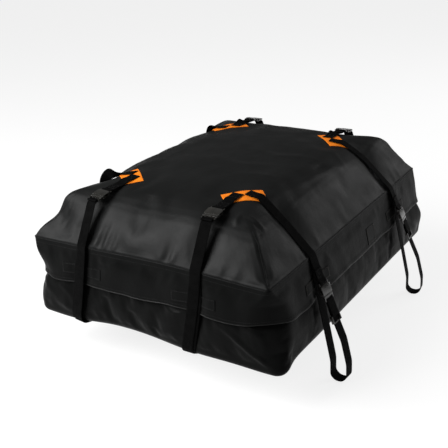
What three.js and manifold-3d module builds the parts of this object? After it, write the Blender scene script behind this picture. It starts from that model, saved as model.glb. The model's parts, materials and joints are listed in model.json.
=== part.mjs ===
// Roof cargo bag: a zipped soft box of coated fabric, tied to roof rails by eight straps.
// Millimetres. X points to the bag's right, minus Y to the windscreen, Z up.
// The origin is the centre of the flat base.

import * as THREE from "three";
import { mergeVertices } from "three/addons/utils/BufferGeometryUtils.js";
import Module from "manifold-3d";

const wasm = await Module();
wasm.setup();

// Driving dimensions: the bag
const bagWidth = 870;
const bagLength = 1120;
const seamHeight = 264;
const zipHeight = 200;
const seamCornerRadius = 34;
const baseCornerRadius = 52;
const baseEdgeRadius = 26;
const tubBulge = 3;
const tubBulgeHeight = 83;

// How far the base stands out past the seam on each side
const flareRight = 38;
const flareLeft = -4;
const flareFront = 0;
const flareRear = 20;

// The lid's slope: inset from the seam, height above the seam
const lidProfile = [
  [20, 25],
  [40, 53],
  [60, 83],
  [79, 110],
  [97, 126],
  [120, 137],
  [165, 150],
  [230, 159],
  [320, 164],
];
const crownRise = 166;
const hemDrop = 7;
const hemRecess = 2;
const skirtDrop = 18;
const lidCornerGrowth = 0.5;

// Where the straps and a slack corner pull the lid's ridge down
const sideStrapDip = 24;
const frontCornerDip = 18;
const dipInset = 84;
const dipReach = 62;
const cornerDipReach = 130;

// Storm flap, its recess and the zip
const flapDepth = 125;
const flapThickness = 2.6;
const flapStandOff = 7;
const flapRecess = 8;
const flapKick = 1.2;
const flapOverZip = 3.2;
const flapOverZipRise = 12;
const recessStart = 6;
const recessEnd = 12;
const tabWidth = 62;
const tabHeight = 56;
const tabRise = 4;
const zipTapeWidth = 26;
const zipTapeThickness = 1.5;
const zipChainWidth = 6;
const zipChainHeight = 2.5;
const zipMeetY = 100;
const sliderLength = 15;
const sliderCheek = 2;
const sliderPlate = 1.6;
const postRadius = 1.5;
const postHeadRadius = 2.8;
const postHeadThickness = 0.8;
const pullLength = 32;
const pullThickness = 1.5;
const pullEyeRadius = 4.2;
const pullTipRadius = 5;

// Orange patches
const patchInsetX = 218;
const patchInsetY = 249;
const patchLength = 132;
const patchWidth = 66;
const patchThickness = 1.4;
const notchMargin = 2.2;

// Webbing and its hardware
const webWidth = 38;
const webThickness = 1.6;
const barSize = 2.4;
const buckleWidth = 50;
const buckleThickness = 10;
const buckleChamfer = 5;
const femaleLength = 37;
const femaleBarHalf = 1.5;
const femaleSlot = 5.5;
const shellWall = 4.5;
const pocketSpare = 4;
const windowInset = 2;
const windowLength = 11;
const shoulderLength = 10;
const shoulderHalf = 3.1;
const maleFrameLength = 10;
const maleBarLength = 3.4;
const maleHalf = 2.2;
const prongLength = 17;
const tongueHalf = 3.6;
const armWidth = 4.6;
const hookDepth = 1.8;
const hookLength = 9;
const tipLength = 4;
const railInset = 1.5;
const glideLength = 24;
const glideBar = 3;
const glideUnderBar = 2;
const eyeFoldLength = 22;
const rightFrontLink = 48;
const sideLink = 36;
const endLoop = 8;
const keeperLength = 155;
const keeperWidth = 34;
const keeperThickness = 1.6;
const keeperHeight = 183;

// Strap routes
const rightFrontDrop = 88;
const sideDrop = 78;
const frontLeftInset = 121;
const endInset = 134;
const endPitchDegrees = 12;
const kneeDistance = 115;
const kneeHeight = 9;
const railDistance = 103;
const railDrop = 92;
const railWidth = 48;
const railHeight = 74;
const railRound = 15;
const barInset = 105;
const barTubeSize = 28;
const barRound = 8;
const anchorDrop = 12;
const bendRadius = 10;

// Clearances
const gap = 0.3;
const hardwareGap = 0.4;
const strapGap = 0.9;
const patchGap = 0.35;
const armGap = 0.5;
const ridgeGap = 8;

const halfWidth = bagWidth / 2;
const halfLength = bagLength / 2;
const halfWeb = webWidth / 2;
const halfThickness = webThickness / 2;
const flapTop = seamHeight - hemDrop;
const flapBottom = seamHeight - flapDepth;

// Each strap starts on a patch. Yaw and lean are how far the photographed straps
// run off square: yaw turns the whole strap, lean shifts it sideways down to the base.
// The buckle's bar is this far below the seam on the sides, or in from the wall at the ends.
// On the sides a link of webbing joins the male half to a glide. At the ends the strap's own
// loop turns round the male's bar.
const patchX = halfWidth - patchInsetX;
const patchY = halfLength - patchInsetY;
const notch = halfWeb + notchMargin;
const frontLean = -44;
const strapPlan = [
  {
    name: "front_right", x: patchX - notch, y: -patchY, side: "front", yaw: 0, lean: frontLean,
    buckle: endInset, link: endLoop,
  },
  {
    name: "front_left", x: -patchX + notch, y: -patchY, side: "front", yaw: -8, lean: frontLean,
    buckle: frontLeftInset, link: endLoop,
  },
  {
    name: "right_front", x: patchX, y: -patchY + notch, side: "right", yaw: -3, lean: 0,
    buckle: rightFrontDrop, link: rightFrontLink,
  },
  {
    name: "right_rear", x: patchX, y: patchY - notch, side: "right", yaw: 8, lean: 0,
    buckle: sideDrop, link: sideLink,
  },
  {
    name: "rear_right", x: patchX - notch, y: patchY, side: "rear", yaw: 0, lean: 0,
    buckle: endInset, link: endLoop,
  },
  {
    name: "rear_left", x: -patchX + notch, y: patchY, side: "rear", yaw: 0, lean: 0,
    buckle: endInset, link: endLoop,
  },
  {
    name: "left_front", x: -patchX, y: -patchY + notch, side: "left", yaw: 0, lean: 0,
    buckle: sideDrop, link: sideLink,
  },
  {
    name: "left_rear", x: -patchX, y: patchY - notch, side: "left", yaw: 0, lean: 0,
    buckle: sideDrop, link: sideLink,
  },
];

// Each side's outward heading in degrees, anticlockwise from the bag's right
const headings = { front: -90, right: 0, rear: 90, left: 180 };

// Colours
const finishes = {
  fabric: { color: 0x1f2021, roughness: 0.55, metalness: 0 },
  patch: { color: 0xff8a14, roughness: 0.6, metalness: 0 },
  webbing: { color: 0x131313, roughness: 0.85, metalness: 0 },
  plastic: { color: 0x19191a, roughness: 0.35, metalness: 0 },
  zip: { color: 0x101010, roughness: 0.6, metalness: 0 },
  slider: { color: 0x3a3a3c, roughness: 0.35, metalness: 0.8 },
};

const bag = new THREE.Group();

function addMesh(parent, name, geometry, finish) {
  const mesh = new THREE.Mesh(geometry, new THREE.MeshStandardMaterial(finishes[finish]));
  mesh.name = name;
  parent.add(mesh);
  return mesh;
}

// Solid helpers

function solidFromTriangles(points, triangles) {
  const geometry = new THREE.BufferGeometry();
  const flat = new Float32Array(points.length * 3);
  points.forEach((p, i) => p.toArray(flat, i * 3));
  geometry.setAttribute("position", new THREE.BufferAttribute(flat, 3));
  let volume = 0;
  for (const [a, b, c] of triangles) {
    volume += points[a].dot(points[b].clone().cross(points[c]));
  }
  const ordered = volume > 0 ? triangles : triangles.map(([a, b, c]) => [a, c, b]);
  geometry.setIndex(ordered.flat());
  geometry.computeVertexNormals();
  return geometry;
}

// Skin over rows of points: every row is a closed loop, the ends are closed by fans
function loftClosed(rows, bottomPoint, topPoint) {
  const n = rows[0].length;
  const points = rows.flat();
  const triangles = [];
  for (let r = 0; r + 1 < rows.length; r++) {
    for (let i = 0; i < n; i++) {
      const j = (i + 1) % n;
      const a = r * n + i;
      const b = r * n + j;
      triangles.push([a, b, b + n], [a, b + n, a + n]);
    }
  }
  const bottom = points.push(bottomPoint) - 1;
  const top = points.push(topPoint) - 1;
  const last = (rows.length - 1) * n;
  for (let i = 0; i < n; i++) {
    const j = (i + 1) % n;
    triangles.push([bottom, j, i], [top, last + i, last + j]);
  }
  return solidFromTriangles(points, triangles);
}

// Skin over cross-sections: every section is a closed loop, and the run of sections
// either closes on itself or ends in two flat caps
function loftSections(sections, closed) {
  const n = sections[0].length;
  const count = sections.length;
  const points = sections.flat();
  const triangles = [];
  const steps = closed ? count : count - 1;
  for (let s = 0; s < steps; s++) {
    for (let i = 0; i < n; i++) {
      const j = (i + 1) % n;
      const t = (s + 1) % count;
      triangles.push([s * n + i, s * n + j, t * n + j], [s * n + i, t * n + j, t * n + i]);
    }
  }
  if (!closed) {
    for (let i = 1; i + 1 < n; i++) {
      const last = (count - 1) * n;
      triangles.push([0, i + 1, i], [last, last + i, last + i + 1]);
    }
  }
  return solidFromTriangles(points, triangles);
}

function toManifold(geometry) {
  const bare = new THREE.BufferGeometry();
  bare.setAttribute("position", geometry.getAttribute("position").clone());
  if (geometry.index) {
    bare.setIndex(geometry.index.clone());
  }
  const merged = mergeVertices(bare, 1e-4);
  return new wasm.Manifold(new wasm.Mesh({
    numProp: 3,
    vertProperties: new Float32Array(merged.getAttribute("position").array),
    triVerts: new Uint32Array(merged.index.array),
  }));
}

function fromManifold(solid) {
  const mesh = solid.getMesh();
  const geometry = new THREE.BufferGeometry();
  geometry.setAttribute("position", new THREE.BufferAttribute(new Float32Array(mesh.vertProperties), 3));
  geometry.setIndex(Array.from(mesh.triVerts));
  geometry.computeVertexNormals();
  return geometry;
}

function joined(first, ...rest) {
  return rest.reduce((sum, next) => sum.add(toManifold(next)), toManifold(first));
}

// A box between two corners
function block(x0, x1, y0, y1, z0, z1) {
  const geometry = new THREE.BoxGeometry(x1 - x0, y1 - y0, z1 - z0);
  geometry.translate((x0 + x1) / 2, (y0 + y1) / 2, (z0 + z1) / 2);
  return geometry;
}

// An outline in the XY plane, raised from z0 to z1
function plate(points, z0, z1, holes = []) {
  const shape = new THREE.Shape(points.map(([x, y]) => new THREE.Vector2(x, y)));
  for (const hole of holes) {
    shape.holes.push(new THREE.Path(hole.map(([x, y]) => new THREE.Vector2(x, y))));
  }
  const geometry = new THREE.ExtrudeGeometry(shape, { depth: z1 - z0, bevelEnabled: false });
  geometry.translate(0, 0, z0);
  return geometry;
}

function rectangle(x0, x1, y0, y1) {
  return [[x0, y0], [x1, y0], [x1, y1], [x0, y1]];
}

// The bag's outline at one height

const cornerSteps = 4;

function wallReach(z) {
  const spread = Math.max(0, 1 - z / seamHeight);
  return {
    right: halfWidth + flareRight * spread,
    left: halfWidth + flareLeft * spread,
    front: halfLength + flareFront * spread,
    rear: halfLength + flareRear * spread,
  };
}

// A closed ring of points, anticlockwise from the middle of the right side's lower end
function outlineRing(z, outset, radius, stepsLong, stepsShort) {
  const reach = wallReach(z);
  const right = reach.right + outset;
  const left = -reach.left - outset;
  const rear = reach.rear + outset;
  const front = -reach.front - outset;
  const corners = [
    { x: right - radius, y: front + radius, from: -90, steps: stepsLong },
    { x: right - radius, y: rear - radius, from: 0, steps: stepsShort },
    { x: left + radius, y: rear - radius, from: 90, steps: stepsLong },
    { x: left + radius, y: front + radius, from: 180, steps: stepsShort },
  ];
  const arc = (corner, k) => {
    const angle = THREE.MathUtils.degToRad(corner.from + (90 * k) / cornerSteps);
    return new THREE.Vector3(corner.x + radius * Math.cos(angle), corner.y + radius * Math.sin(angle), z);
  };
  const ring = [];
  corners.forEach((corner, c) => {
    for (let k = 0; k <= cornerSteps; k++) {
      ring.push(arc(corner, k));
    }
    const start = arc(corner, cornerSteps);
    const end = arc(corners[(c + 1) % 4], 0);
    for (let k = 1; k < corner.steps; k++) {
      ring.push(start.clone().lerp(end, k / corner.steps));
    }
  });
  return ring;
}

// Lid

function smoothBump(distance, reach) {
  return Math.exp(-((distance / reach) ** 2));
}

// Where a side strap crosses the lid's ridge
function ridgeCrossing(strap) {
  const outward = strap.side === "right" ? 1 : -1;
  const run = patchInsetX - dipInset;
  return strap.y + outward * run * Math.tan(THREE.MathUtils.degToRad(strap.yaw));
}

function lidDip(x, y, inset) {
  const across = smoothBump(inset - dipInset, dipReach);
  const side = x > 0 ? "right" : "left";
  const nearSide = halfWidth - Math.abs(x) < halfLength - Math.abs(y);
  let dip = 0;
  for (const strap of strapPlan) {
    if (nearSide && strap.side === side) {
      dip = Math.max(dip, sideStrapDip * smoothBump(y - ridgeCrossing(strap), dipReach) * across);
    }
  }
  const cornerX = halfWidth - dipInset;
  const cornerY = -halfLength + dipInset;
  const cornerDistance = Math.hypot(x - cornerX, y - cornerY);
  dip = Math.max(dip, frontCornerDip * smoothBump(cornerDistance, cornerDipReach) * across);
  return dip;
}

function makeLid() {
  const stepsLong = 16;
  const stepsShort = 12;
  const skirtRadius = seamCornerRadius - flapRecess;
  const skirt = [
    [zipHeight + gap, -flapRecess],
    [seamHeight - skirtDrop, -flapRecess],
    [flapTop, -hemRecess],
    [seamHeight, 0],
  ];
  const rows = skirt.map(([z, outset]) => {
    return outlineRing(z, outset, skirtRadius + flapRecess + outset, stepsLong, stepsShort);
  });
  for (const [inset, rise] of lidProfile) {
    const radius = seamCornerRadius + inset * lidCornerGrowth;
    const ring = outlineRing(seamHeight, -inset, radius, stepsLong, stepsShort);
    for (const p of ring) {
      p.z = seamHeight + rise - lidDip(p.x, p.y, inset);
    }
    rows.push(ring);
  }
  const bottom = new THREE.Vector3(0, 0, zipHeight + gap);
  const top = new THREE.Vector3(0, 0, seamHeight + crownRise);
  return loftClosed(rows, bottom, top);
}

const lid = addMesh(bag, "lid", makeLid(), "fabric");

// Base tub

function makeTub() {
  const stepsLong = 6;
  const stepsShort = 5;
  const edgeSteps = 3;
  const walls = [];
  for (let k = 0; k <= edgeSteps; k++) {
    const angle = (Math.PI / 2) * (k / edgeSteps);
    walls.push([baseEdgeRadius * (1 - Math.cos(angle)), baseEdgeRadius * (Math.sin(angle) - 1)]);
  }
  walls.push(
    [tubBulgeHeight, tubBulge],
    [flapBottom - recessStart, 0],
    [flapBottom + recessEnd, -flapRecess],
    [zipHeight, -flapRecess],
  );
  const rows = walls.map(([z, outset]) => {
    const blend = z / zipHeight;
    const radius = THREE.MathUtils.lerp(baseCornerRadius, seamCornerRadius, blend) + outset;
    return outlineRing(z, outset, radius, stepsLong, stepsShort);
  });
  return loftClosed(rows, new THREE.Vector3(0, 0, 0), new THREE.Vector3(0, 0, zipHeight));
}

const tub = addMesh(bag, "base_tub", makeTub(), "fabric");

// Storm flap: sewn on under the seam, it hangs over the zip and stands off below.
// The keepers behind the straps and the closing tab are sewn to it.

const flapSlant = [
  [flapTop, strapGap - hemRecess],
  [seamHeight - skirtDrop, strapGap - hemRecess + flapKick],
  [zipHeight + flapOverZipRise, flapOverZip],
  [flapBottom, flapStandOff],
];

function flapInner(z) {
  for (let k = 0; k + 1 < flapSlant.length; k++) {
    const [zHigh, outHigh] = flapSlant[k];
    const [zLow, outLow] = flapSlant[k + 1];
    if (z >= zLow) {
      return outHigh + ((outLow - outHigh) * (zHigh - z)) / (zHigh - zLow);
    }
  }
  return flapStandOff;
}

function flapOuterX(side, z) {
  return wallReach(z)[side] + flapInner(z) + flapThickness;
}

// A thin slab that follows the flap's outer face on one side of the bag
function slabOnFlap(side, along, length, middle, height, thickness) {
  const sink = 0.5;
  const corners = [];
  for (const depth of [-sink, thickness]) {
    for (const [u, v] of [[-1, -1], [1, -1], [1, 1], [-1, 1]]) {
      const z = middle + (v * height) / 2;
      const a = along + (u * length) / 2;
      const reach = flapOuterX(side, z) + depth;
      if (side === "right" || side === "left") {
        corners.push(new THREE.Vector3(side === "right" ? reach : -reach, a, z));
      } else {
        corners.push(new THREE.Vector3(a, side === "rear" ? reach : -reach, z));
      }
    }
  }
  return loftSections([corners.slice(0, 4), corners.slice(4)], false);
}

function makeFlap(keepers) {
  const sections = [];
  const outer = flapSlant.map(([z, outset]) => {
    return outlineRing(z, outset + flapThickness, seamCornerRadius + outset + flapThickness, 1, 1);
  });
  const inner = flapSlant.map(([z, outset]) => outlineRing(z, outset, seamCornerRadius + outset, 1, 1));
  for (let i = 0; i < outer[0].length; i++) {
    sections.push([...outer.map((ring) => ring[i]), ...inner.map((ring) => ring[i]).reverse()]);
  }
  const ring = loftSections(sections, true);
  const slabs = keepers.map(({ side, along }) => {
    return slabOnFlap(side, along, keeperLength, keeperHeight, keeperWidth, keeperThickness);
  });
  const tabMiddle = flapBottom + tabRise + tabHeight / 2;
  const tab = slabOnFlap("right", zipMeetY, tabWidth, tabMiddle, tabHeight, keeperThickness);
  return fromManifold(joined(ring, tab, ...slabs));
}

// Zip: a tape with a raised chain along the right side, the front and the left side

function makeZip() {
  const half = zipTapeWidth / 2;
  const chain = zipChainWidth / 2;
  const base = -flapRecess + gap;
  const section = [
    [zipHeight - half, base],
    [zipHeight - half, base + zipTapeThickness],
    [zipHeight - chain, base + zipTapeThickness + zipChainHeight],
    [zipHeight + chain, base + zipTapeThickness + zipChainHeight],
    [zipHeight + half, base + zipTapeThickness],
    [zipHeight + half, base],
  ];
  const rings = section.map(([z, outset]) => outlineRing(z, outset, seamCornerRadius + outset, 1, 1));
  const perCorner = cornerSteps + 1;
  const rearRight = perCorner;
  const rearLeft = 2 * perCorner + cornerSteps;
  const total = 4 * perCorner;
  const sections = [];
  for (let k = rearLeft; k <= total + rearRight; k++) {
    sections.push(rings.map((ring) => ring[k % total]));
  }
  return loftSections(sections, false);
}

addMesh(bag, "zip", makeZip(), "zip");

// Zip sliders and pulls on the right side. Local X is away from the wall.

const sliderUnder = zipTapeThickness + zipChainHeight + hardwareGap;
const sliderTop = sliderUnder + sliderPlate;
const roundSteps = 10;

// A disc across the local X axis, from one height above the wall to another
function stud(radius, from, to) {
  const geometry = new THREE.CylinderGeometry(radius, radius, to - from, roundSteps);
  geometry.rotateZ(Math.PI / 2);
  geometry.translate((from + to) / 2, 0, 0);
  return geometry;
}

function makeSlider() {
  const half = sliderLength / 2;
  const inner = zipChainWidth / 2 + hardwareGap + sliderCheek;
  const outer = inner + sliderCheek;
  const tapeSlope = zipChainHeight / (zipTapeWidth / 2 - zipChainWidth / 2);
  const cheekFoot = zipTapeThickness + tapeSlope * (zipTapeWidth / 2 - inner) + hardwareGap;
  const weld = 0.2;
  const body = block(sliderUnder, sliderTop, -half, half, -outer, outer);
  const upperCheek = block(cheekFoot, sliderUnder + weld, -half, half, inner, outer);
  const lowerCheek = block(cheekFoot, sliderUnder + weld, -half, half, -outer, -inner);
  const headFoot = sliderTop + hardwareGap + pullThickness + gap;
  const post = stud(postRadius, sliderTop - weld, headFoot + weld);
  const head = stud(postHeadRadius, headFoot, headFoot + postHeadThickness);
  return fromManifold(joined(body, upperCheek, lowerCheek, post, head));
}

function makePull() {
  const arc = (radius, steps, from, to, centre) => {
    const points = [];
    for (let k = 0; k <= steps; k++) {
      const angle = THREE.MathUtils.degToRad(from + ((to - from) * k) / steps);
      points.push([centre + radius * Math.cos(angle), radius * Math.sin(angle)]);
    }
    return points;
  };
  const endSteps = 5;
  const tipCentre = pullLength - pullEyeRadius - pullTipRadius;
  const outline = [
    ...arc(pullEyeRadius, endSteps, 90, 270, 0),
    ...arc(pullTipRadius, endSteps, -90, 90, tipCentre),
  ];
  const hole = arc(postRadius + hardwareGap, roundSteps, 0, 360, 0).slice(1);
  const geometry = plate(outline, 0, pullThickness, [hole]);
  geometry.rotateY(Math.PI / 2);
  return geometry;
}

const zipWallX = wallReach(zipHeight).right - flapRecess + gap;
const pullSeat = sliderTop + hardwareGap;
const wallLean = Math.atan2(flareRight, seamHeight);

const sliderApart = 2;

for (const [name, y] of [["front", -1], ["rear", 1]]) {
  const carriage = new THREE.Group();
  carriage.position.set(zipWallX, zipMeetY + (y * (sliderLength + sliderApart)) / 2, zipHeight);
  carriage.rotation.y = -wallLean;
  addMesh(carriage, `zip_slider_${name}`, makeSlider(), "slider");
  const pull = addMesh(carriage, `zip_pull_${name}`, makePull(), "slider");
  pull.position.x = pullSeat;
  bag.add(carriage);
}

// Orange patches, draped on the lid

bag.updateMatrixWorld(true);
const raycaster = new THREE.Raycaster();

function topOf(meshes, x, y) {
  const above = new THREE.Vector3(x, y, 2 * (seamHeight + crownRise));
  raycaster.set(above, new THREE.Vector3(0, 0, -1));
  const hits = raycaster.intersectObjects(meshes, false);
  return hits.length ? hits[0].point.z : -Infinity;
}

function makePatch(signX, signY) {
  const centre = new THREE.Vector2(signX * patchX, signY * patchY);
  const along = new THREE.Vector2(1, -signX * signY).normalize();
  const across = new THREE.Vector2(-along.y, along.x);
  const columns = 6;
  const rowsAcross = 3;
  const place = (i, j) => {
    const a = (i / columns - 0.5) * patchLength;
    const b = (j / rowsAcross - 0.5) * patchWidth;
    return centre.clone().addScaledVector(along, a).addScaledVector(across, b);
  };
  const lower = [];
  for (let i = 0; i <= columns; i++) {
    for (let j = 0; j <= rowsAcross; j++) {
      const p = place(i, j);
      lower.push(new THREE.Vector3(p.x, p.y, topOf([lid], p.x, p.y) + patchGap));
    }
  }
  // Lift each cell until it clears the lid's ridges between the grid points
  const probes = 6;
  const lift = lower.map(() => 0);
  for (let i = 0; i < columns; i++) {
    for (let j = 0; j < rowsAcross; j++) {
      const cell = [[0, 0], [1, 0], [0, 1], [1, 1]].map(([u, v]) => (i + u) * (rowsAcross + 1) + j + v);
      let short = 0;
      for (let a = 0; a <= probes; a++) {
        for (let b = 0; b <= probes; b++) {
          const u = a / probes;
          const v = b / probes;
          const p = place(i + u, j + v);
          const lowest = Math.min(
            lower[cell[0]].z * (1 - u) + lower[cell[3]].z * v + lower[cell[1]].z * (u - v),
            lower[cell[0]].z * (1 - v) + lower[cell[3]].z * u + lower[cell[2]].z * (v - u),
          );
          short = Math.max(short, topOf([lid], p.x, p.y) + patchGap - lowest);
        }
      }
      for (const corner of cell) {
        lift[corner] = Math.max(lift[corner], short);
      }
    }
  }
  for (let k = 0; k < lower.length; k++) {
    lower[k].z += lift[k];
  }
  const upper = lower.map((p) => p.clone().setZ(p.z + patchThickness));
  const points = [...lower, ...upper];
  const stride = rowsAcross + 1;
  const offset = lower.length;
  const triangles = [];
  for (let i = 0; i < columns; i++) {
    for (let j = 0; j < rowsAcross; j++) {
      const a = i * stride + j;
      const b = a + stride;
      for (const [p, q, r] of [[a, b, b + 1], [a, b + 1, a + 1]]) {
        triangles.push([p, r, q], [p + offset, q + offset, r + offset]);
      }
    }
  }
  const longEdge = Array.from({ length: columns }, (_, i) => i * stride);
  const shortEdge = Array.from({ length: rowsAcross }, (_, j) => columns * stride + j);
  const lastPoint = lower.length - 1;
  const half = [...longEdge, ...shortEdge];
  const rim = [...half, ...half.map((a) => lastPoint - a)];
  rim.forEach((a, k) => {
    const b = rim[(k + 1) % rim.length];
    triangles.push([a, b, b + offset], [a, b + offset, a + offset]);
  });
  return solidFromTriangles(points, triangles);
}

const patches = [];
for (const [name, signX, signY] of [
  ["front_right", 1, -1],
  ["front_left", -1, -1],
  ["rear_right", 1, 1],
  ["rear_left", -1, 1],
]) {
  patches.push(addMesh(bag, `patch_${name}`, makePatch(signX, signY), "patch"));
}

// Buckle hardware. Local X runs down the strap from the female's bar, local Z stands off
// the bag, and the long strap's underside is at local Z 0.

const layer = webThickness + gap;
const barBottom = 2 * layer;
const barTop = barBottom + barSize;
const axisHeight = (barBottom + barTop) / 2;
const halfBuckle = buckleWidth / 2;
const railInner = halfWeb + 2 * hardwareGap;
const railOuter = halfBuckle - railInset;
const pocketHalf = halfBuckle - shellWall;
const past = 1;

function makeFemale() {
  const bodyStart = femaleBarHalf + femaleSlot;
  const low = axisHeight - buckleThickness / 2;
  const high = axisHeight + buckleThickness / 2;
  const body = plate([
    [bodyStart, -halfBuckle + buckleChamfer],
    [bodyStart + buckleChamfer, -halfBuckle],
    [femaleLength, -halfBuckle],
    [femaleLength, halfBuckle],
    [bodyStart + buckleChamfer, halfBuckle],
    [bodyStart, halfBuckle - buckleChamfer],
  ], low, high);
  const ears = plate(
    rectangle(-femaleBarHalf, bodyStart + past, -railOuter, railOuter),
    axisHeight - femaleBarHalf,
    axisHeight + femaleBarHalf,
    [rectangle(femaleBarHalf, bodyStart, -railInner, railInner)],
  );
  const pocketHeight = maleHalf + armGap;
  const pocketStart = femaleLength - prongLength - pocketSpare;
  const windowStart = pocketStart + windowInset;
  const hollow = (from, to, half) => {
    const box = block(from, to, -half, half, axisHeight - pocketHeight, axisHeight + pocketHeight);
    return toManifold(box);
  };
  const pocket = hollow(pocketStart, femaleLength + past, pocketHalf);
  const windows = hollow(windowStart, windowStart + windowLength, halfBuckle + past);
  return fromManifold(joined(body, ears).subtract(pocket).subtract(windows));
}

const shoulderStart = femaleLength + gap;
const shoulderEnd = shoulderStart + shoulderLength;
const maleEnd = shoulderEnd + maleFrameLength;
const maleBarStart = maleEnd - maleBarLength;

function makeMale() {
  const armOuter = pocketHalf - armGap;
  const armInner = armOuter - armWidth;
  const tip = shoulderStart - prongLength;
  const bevel = 1;
  const tongue = [
    [shoulderStart, -tongueHalf],
    [tip, -tongueHalf + bevel],
    [tip, tongueHalf - bevel],
    [shoulderStart, tongueHalf],
  ];
  const armAndFrame = [
    [shoulderStart, armInner - hookDepth],
    [tip + tipLength, armInner],
    [tip, armInner + bevel],
    [tip, armOuter - 2 * bevel],
    [tip + tipLength, armOuter],
    [tip + hookLength, armOuter],
    [tip + hookLength, armOuter - hookDepth],
    [shoulderStart, armOuter - hookDepth],
    [shoulderStart, halfBuckle - bevel],
    [shoulderEnd - 2 * bevel, halfBuckle - bevel],
    [shoulderEnd, railOuter],
    [maleEnd, railOuter - bevel],
  ];
  const mirrored = armAndFrame.map(([x, y]) => [x, -y]).reverse();
  const slot = rectangle(shoulderEnd, maleBarStart, -railInner, railInner);
  const outline = [...mirrored, ...tongue, ...armAndFrame];
  const core = plate(outline, axisHeight - maleHalf, axisHeight + maleHalf, [slot]);
  const shoulder = block(
    shoulderStart, shoulderEnd, -railOuter, railOuter,
    axisHeight - shoulderHalf, axisHeight + shoulderHalf,
  );
  // The bar that the webbing turns round is thinner than the frame
  const thinned = (from, to) => {
    return toManifold(block(maleBarStart - past, maleEnd + past, -railInner, railInner, from, to));
  };
  const above = thinned(axisHeight + barSize / 2, axisHeight + maleHalf + past);
  const below = thinned(axisHeight - maleHalf - past, axisHeight - barSize / 2);
  return fromManifold(joined(core, shoulder).subtract(above).subtract(below));
}

function makeGlide(start) {
  const end = start + glideLength;
  const middle = (start + end) / 2;
  const lowest = -gap - glideUnderBar;
  const inner = halfWeb + gap + hardwareGap;
  const outer = railOuter;
  const reach = (inner + outer) / 2;
  return fromManifold(joined(
    block(start, end, inner, outer, lowest, barTop),
    block(start, end, -outer, -inner, lowest, barTop),
    block(start, start + glideBar, -reach, reach, barBottom, barTop),
    block(end - glideBar, end, -reach, reach, barBottom, barTop),
    block(middle - glideBar / 2, middle + glideBar / 2, -reach, reach, lowest, -gap),
  ));
}

// The flat loop of doubled webbing round the male's bar, and on the sides round the glide's
function makeLink(end) {
  const inner = barSize / 2 + gap;
  const outer = inner + webThickness;
  const from = maleBarStart - gap + inner;
  const to = end + gap - inner;
  const turnSteps = 4;
  const outline = [];
  for (const [centre, start] of [[from, Math.PI / 2], [to, -Math.PI / 2]]) {
    for (let k = 0; k <= turnSteps; k++) {
      const angle = start + (Math.PI * k) / turnSteps;
      outline.push([centre + outer * Math.cos(angle), axisHeight + outer * Math.sin(angle)]);
    }
  }
  const hole = rectangle(from - inner, to + inner, axisHeight - inner, axisHeight + inner);
  return acrossWeb(outline, [hole]);
}

// A side outline in X and Z, spread over the webbing's width along Y
function acrossWeb(points, holes = []) {
  const geometry = plate(points, -halfWeb, halfWeb, holes);
  geometry.rotateX(Math.PI / 2);
  return geometry;
}

// The most that a bend's outer corner stands off, in half thicknesses
const sharpest = 1.6;

// Ribbon outline: a path in X and Z with half its thickness at each point
function offsetPath(path, halves) {
  const left = [];
  const right = [];
  path.forEach((p, i) => {
    const before = path[Math.max(0, i - 1)];
    const after = path[Math.min(path.length - 1, i + 1)];
    const d1 = new THREE.Vector2().subVectors(p, before).normalize();
    const d2 = new THREE.Vector2().subVectors(after, p).normalize();
    if (i === 0) {
      d1.copy(d2);
    }
    if (i === path.length - 1) {
      d2.copy(d1);
    }
    const mean = d1.clone().add(d2).normalize();
    const normal = new THREE.Vector2(-mean.y, mean.x);
    const stretch = Math.min(sharpest, 1 / Math.max(mean.dot(d1), 1 / sharpest));
    left.push(p.clone().addScaledVector(normal, halves[i] * stretch));
    right.push(p.clone().addScaledVector(normal, -halves[i] * stretch));
  });
  return { left, right };
}

const bendSteps = 2;
const straightEnough = 0.985;
const mostOfSide = 0.45;

function roundedCorner(points, index) {
  const p = points[index];
  const a = points[index - 1].clone().sub(p);
  const b = points[index + 1].clone().sub(p);
  const cut = Math.min(bendRadius, a.length() * mostOfSide, b.length() * mostOfSide);
  const start = p.clone().addScaledVector(a.normalize(), cut);
  const end = p.clone().addScaledVector(b.normalize(), cut);
  const curve = new THREE.QuadraticBezierCurve(start, p, end);
  return curve.getPoints(bendSteps);
}

// Softens every bend of a path except its two ends
function softened(points) {
  const out = [points[0]];
  for (let i = 1; i + 1 < points.length; i++) {
    const d1 = points[i].clone().sub(points[i - 1]).normalize();
    const d2 = points[i + 1].clone().sub(points[i]).normalize();
    if (d1.dot(d2) > straightEnough) {
      out.push(points[i]);
    } else {
      out.push(...roundedCorner(points, i));
    }
  }
  out.push(points[points.length - 1]);
  return out;
}

// Convex hull, anticlockwise
function convexHull(points) {
  const sorted = [...points].sort((a, b) => a.x - b.x || a.y - b.y);
  const turn = (o, a, b) => (a.x - o.x) * (b.y - o.y) - (a.y - o.y) * (b.x - o.x);
  const half = (list) => {
    const chain = [];
    for (const p of list) {
      while (chain.length > 1 && turn(chain[chain.length - 2], chain[chain.length - 1], p) <= 0) {
        chain.pop();
      }
      chain.push(p);
    }
    return chain.slice(0, -1);
  };
  return [...half(sorted), ...half(sorted.reverse())];
}

// The way a taut strap takes from start to end, clockwise over the surface points
function tautPath(start, end, surface) {
  const hull = convexHull([start, end, ...surface]).reverse();
  const first = hull.indexOf(start);
  const ordered = [...hull.slice(first), ...hull.slice(0, first)];
  return ordered.slice(0, ordered.indexOf(end) + 1);
}

// Straps

const leanPower = 1.4;
const stripMargin = 2;
const stripHalf = halfWeb + stripMargin;
const nearBar = 1;
const tailLength = 3;

function leanAt(strap, z) {
  const share = THREE.MathUtils.clamp(1 - z / seamHeight, 0, 1);
  return strap.lean * share ** leanPower;
}

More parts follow.
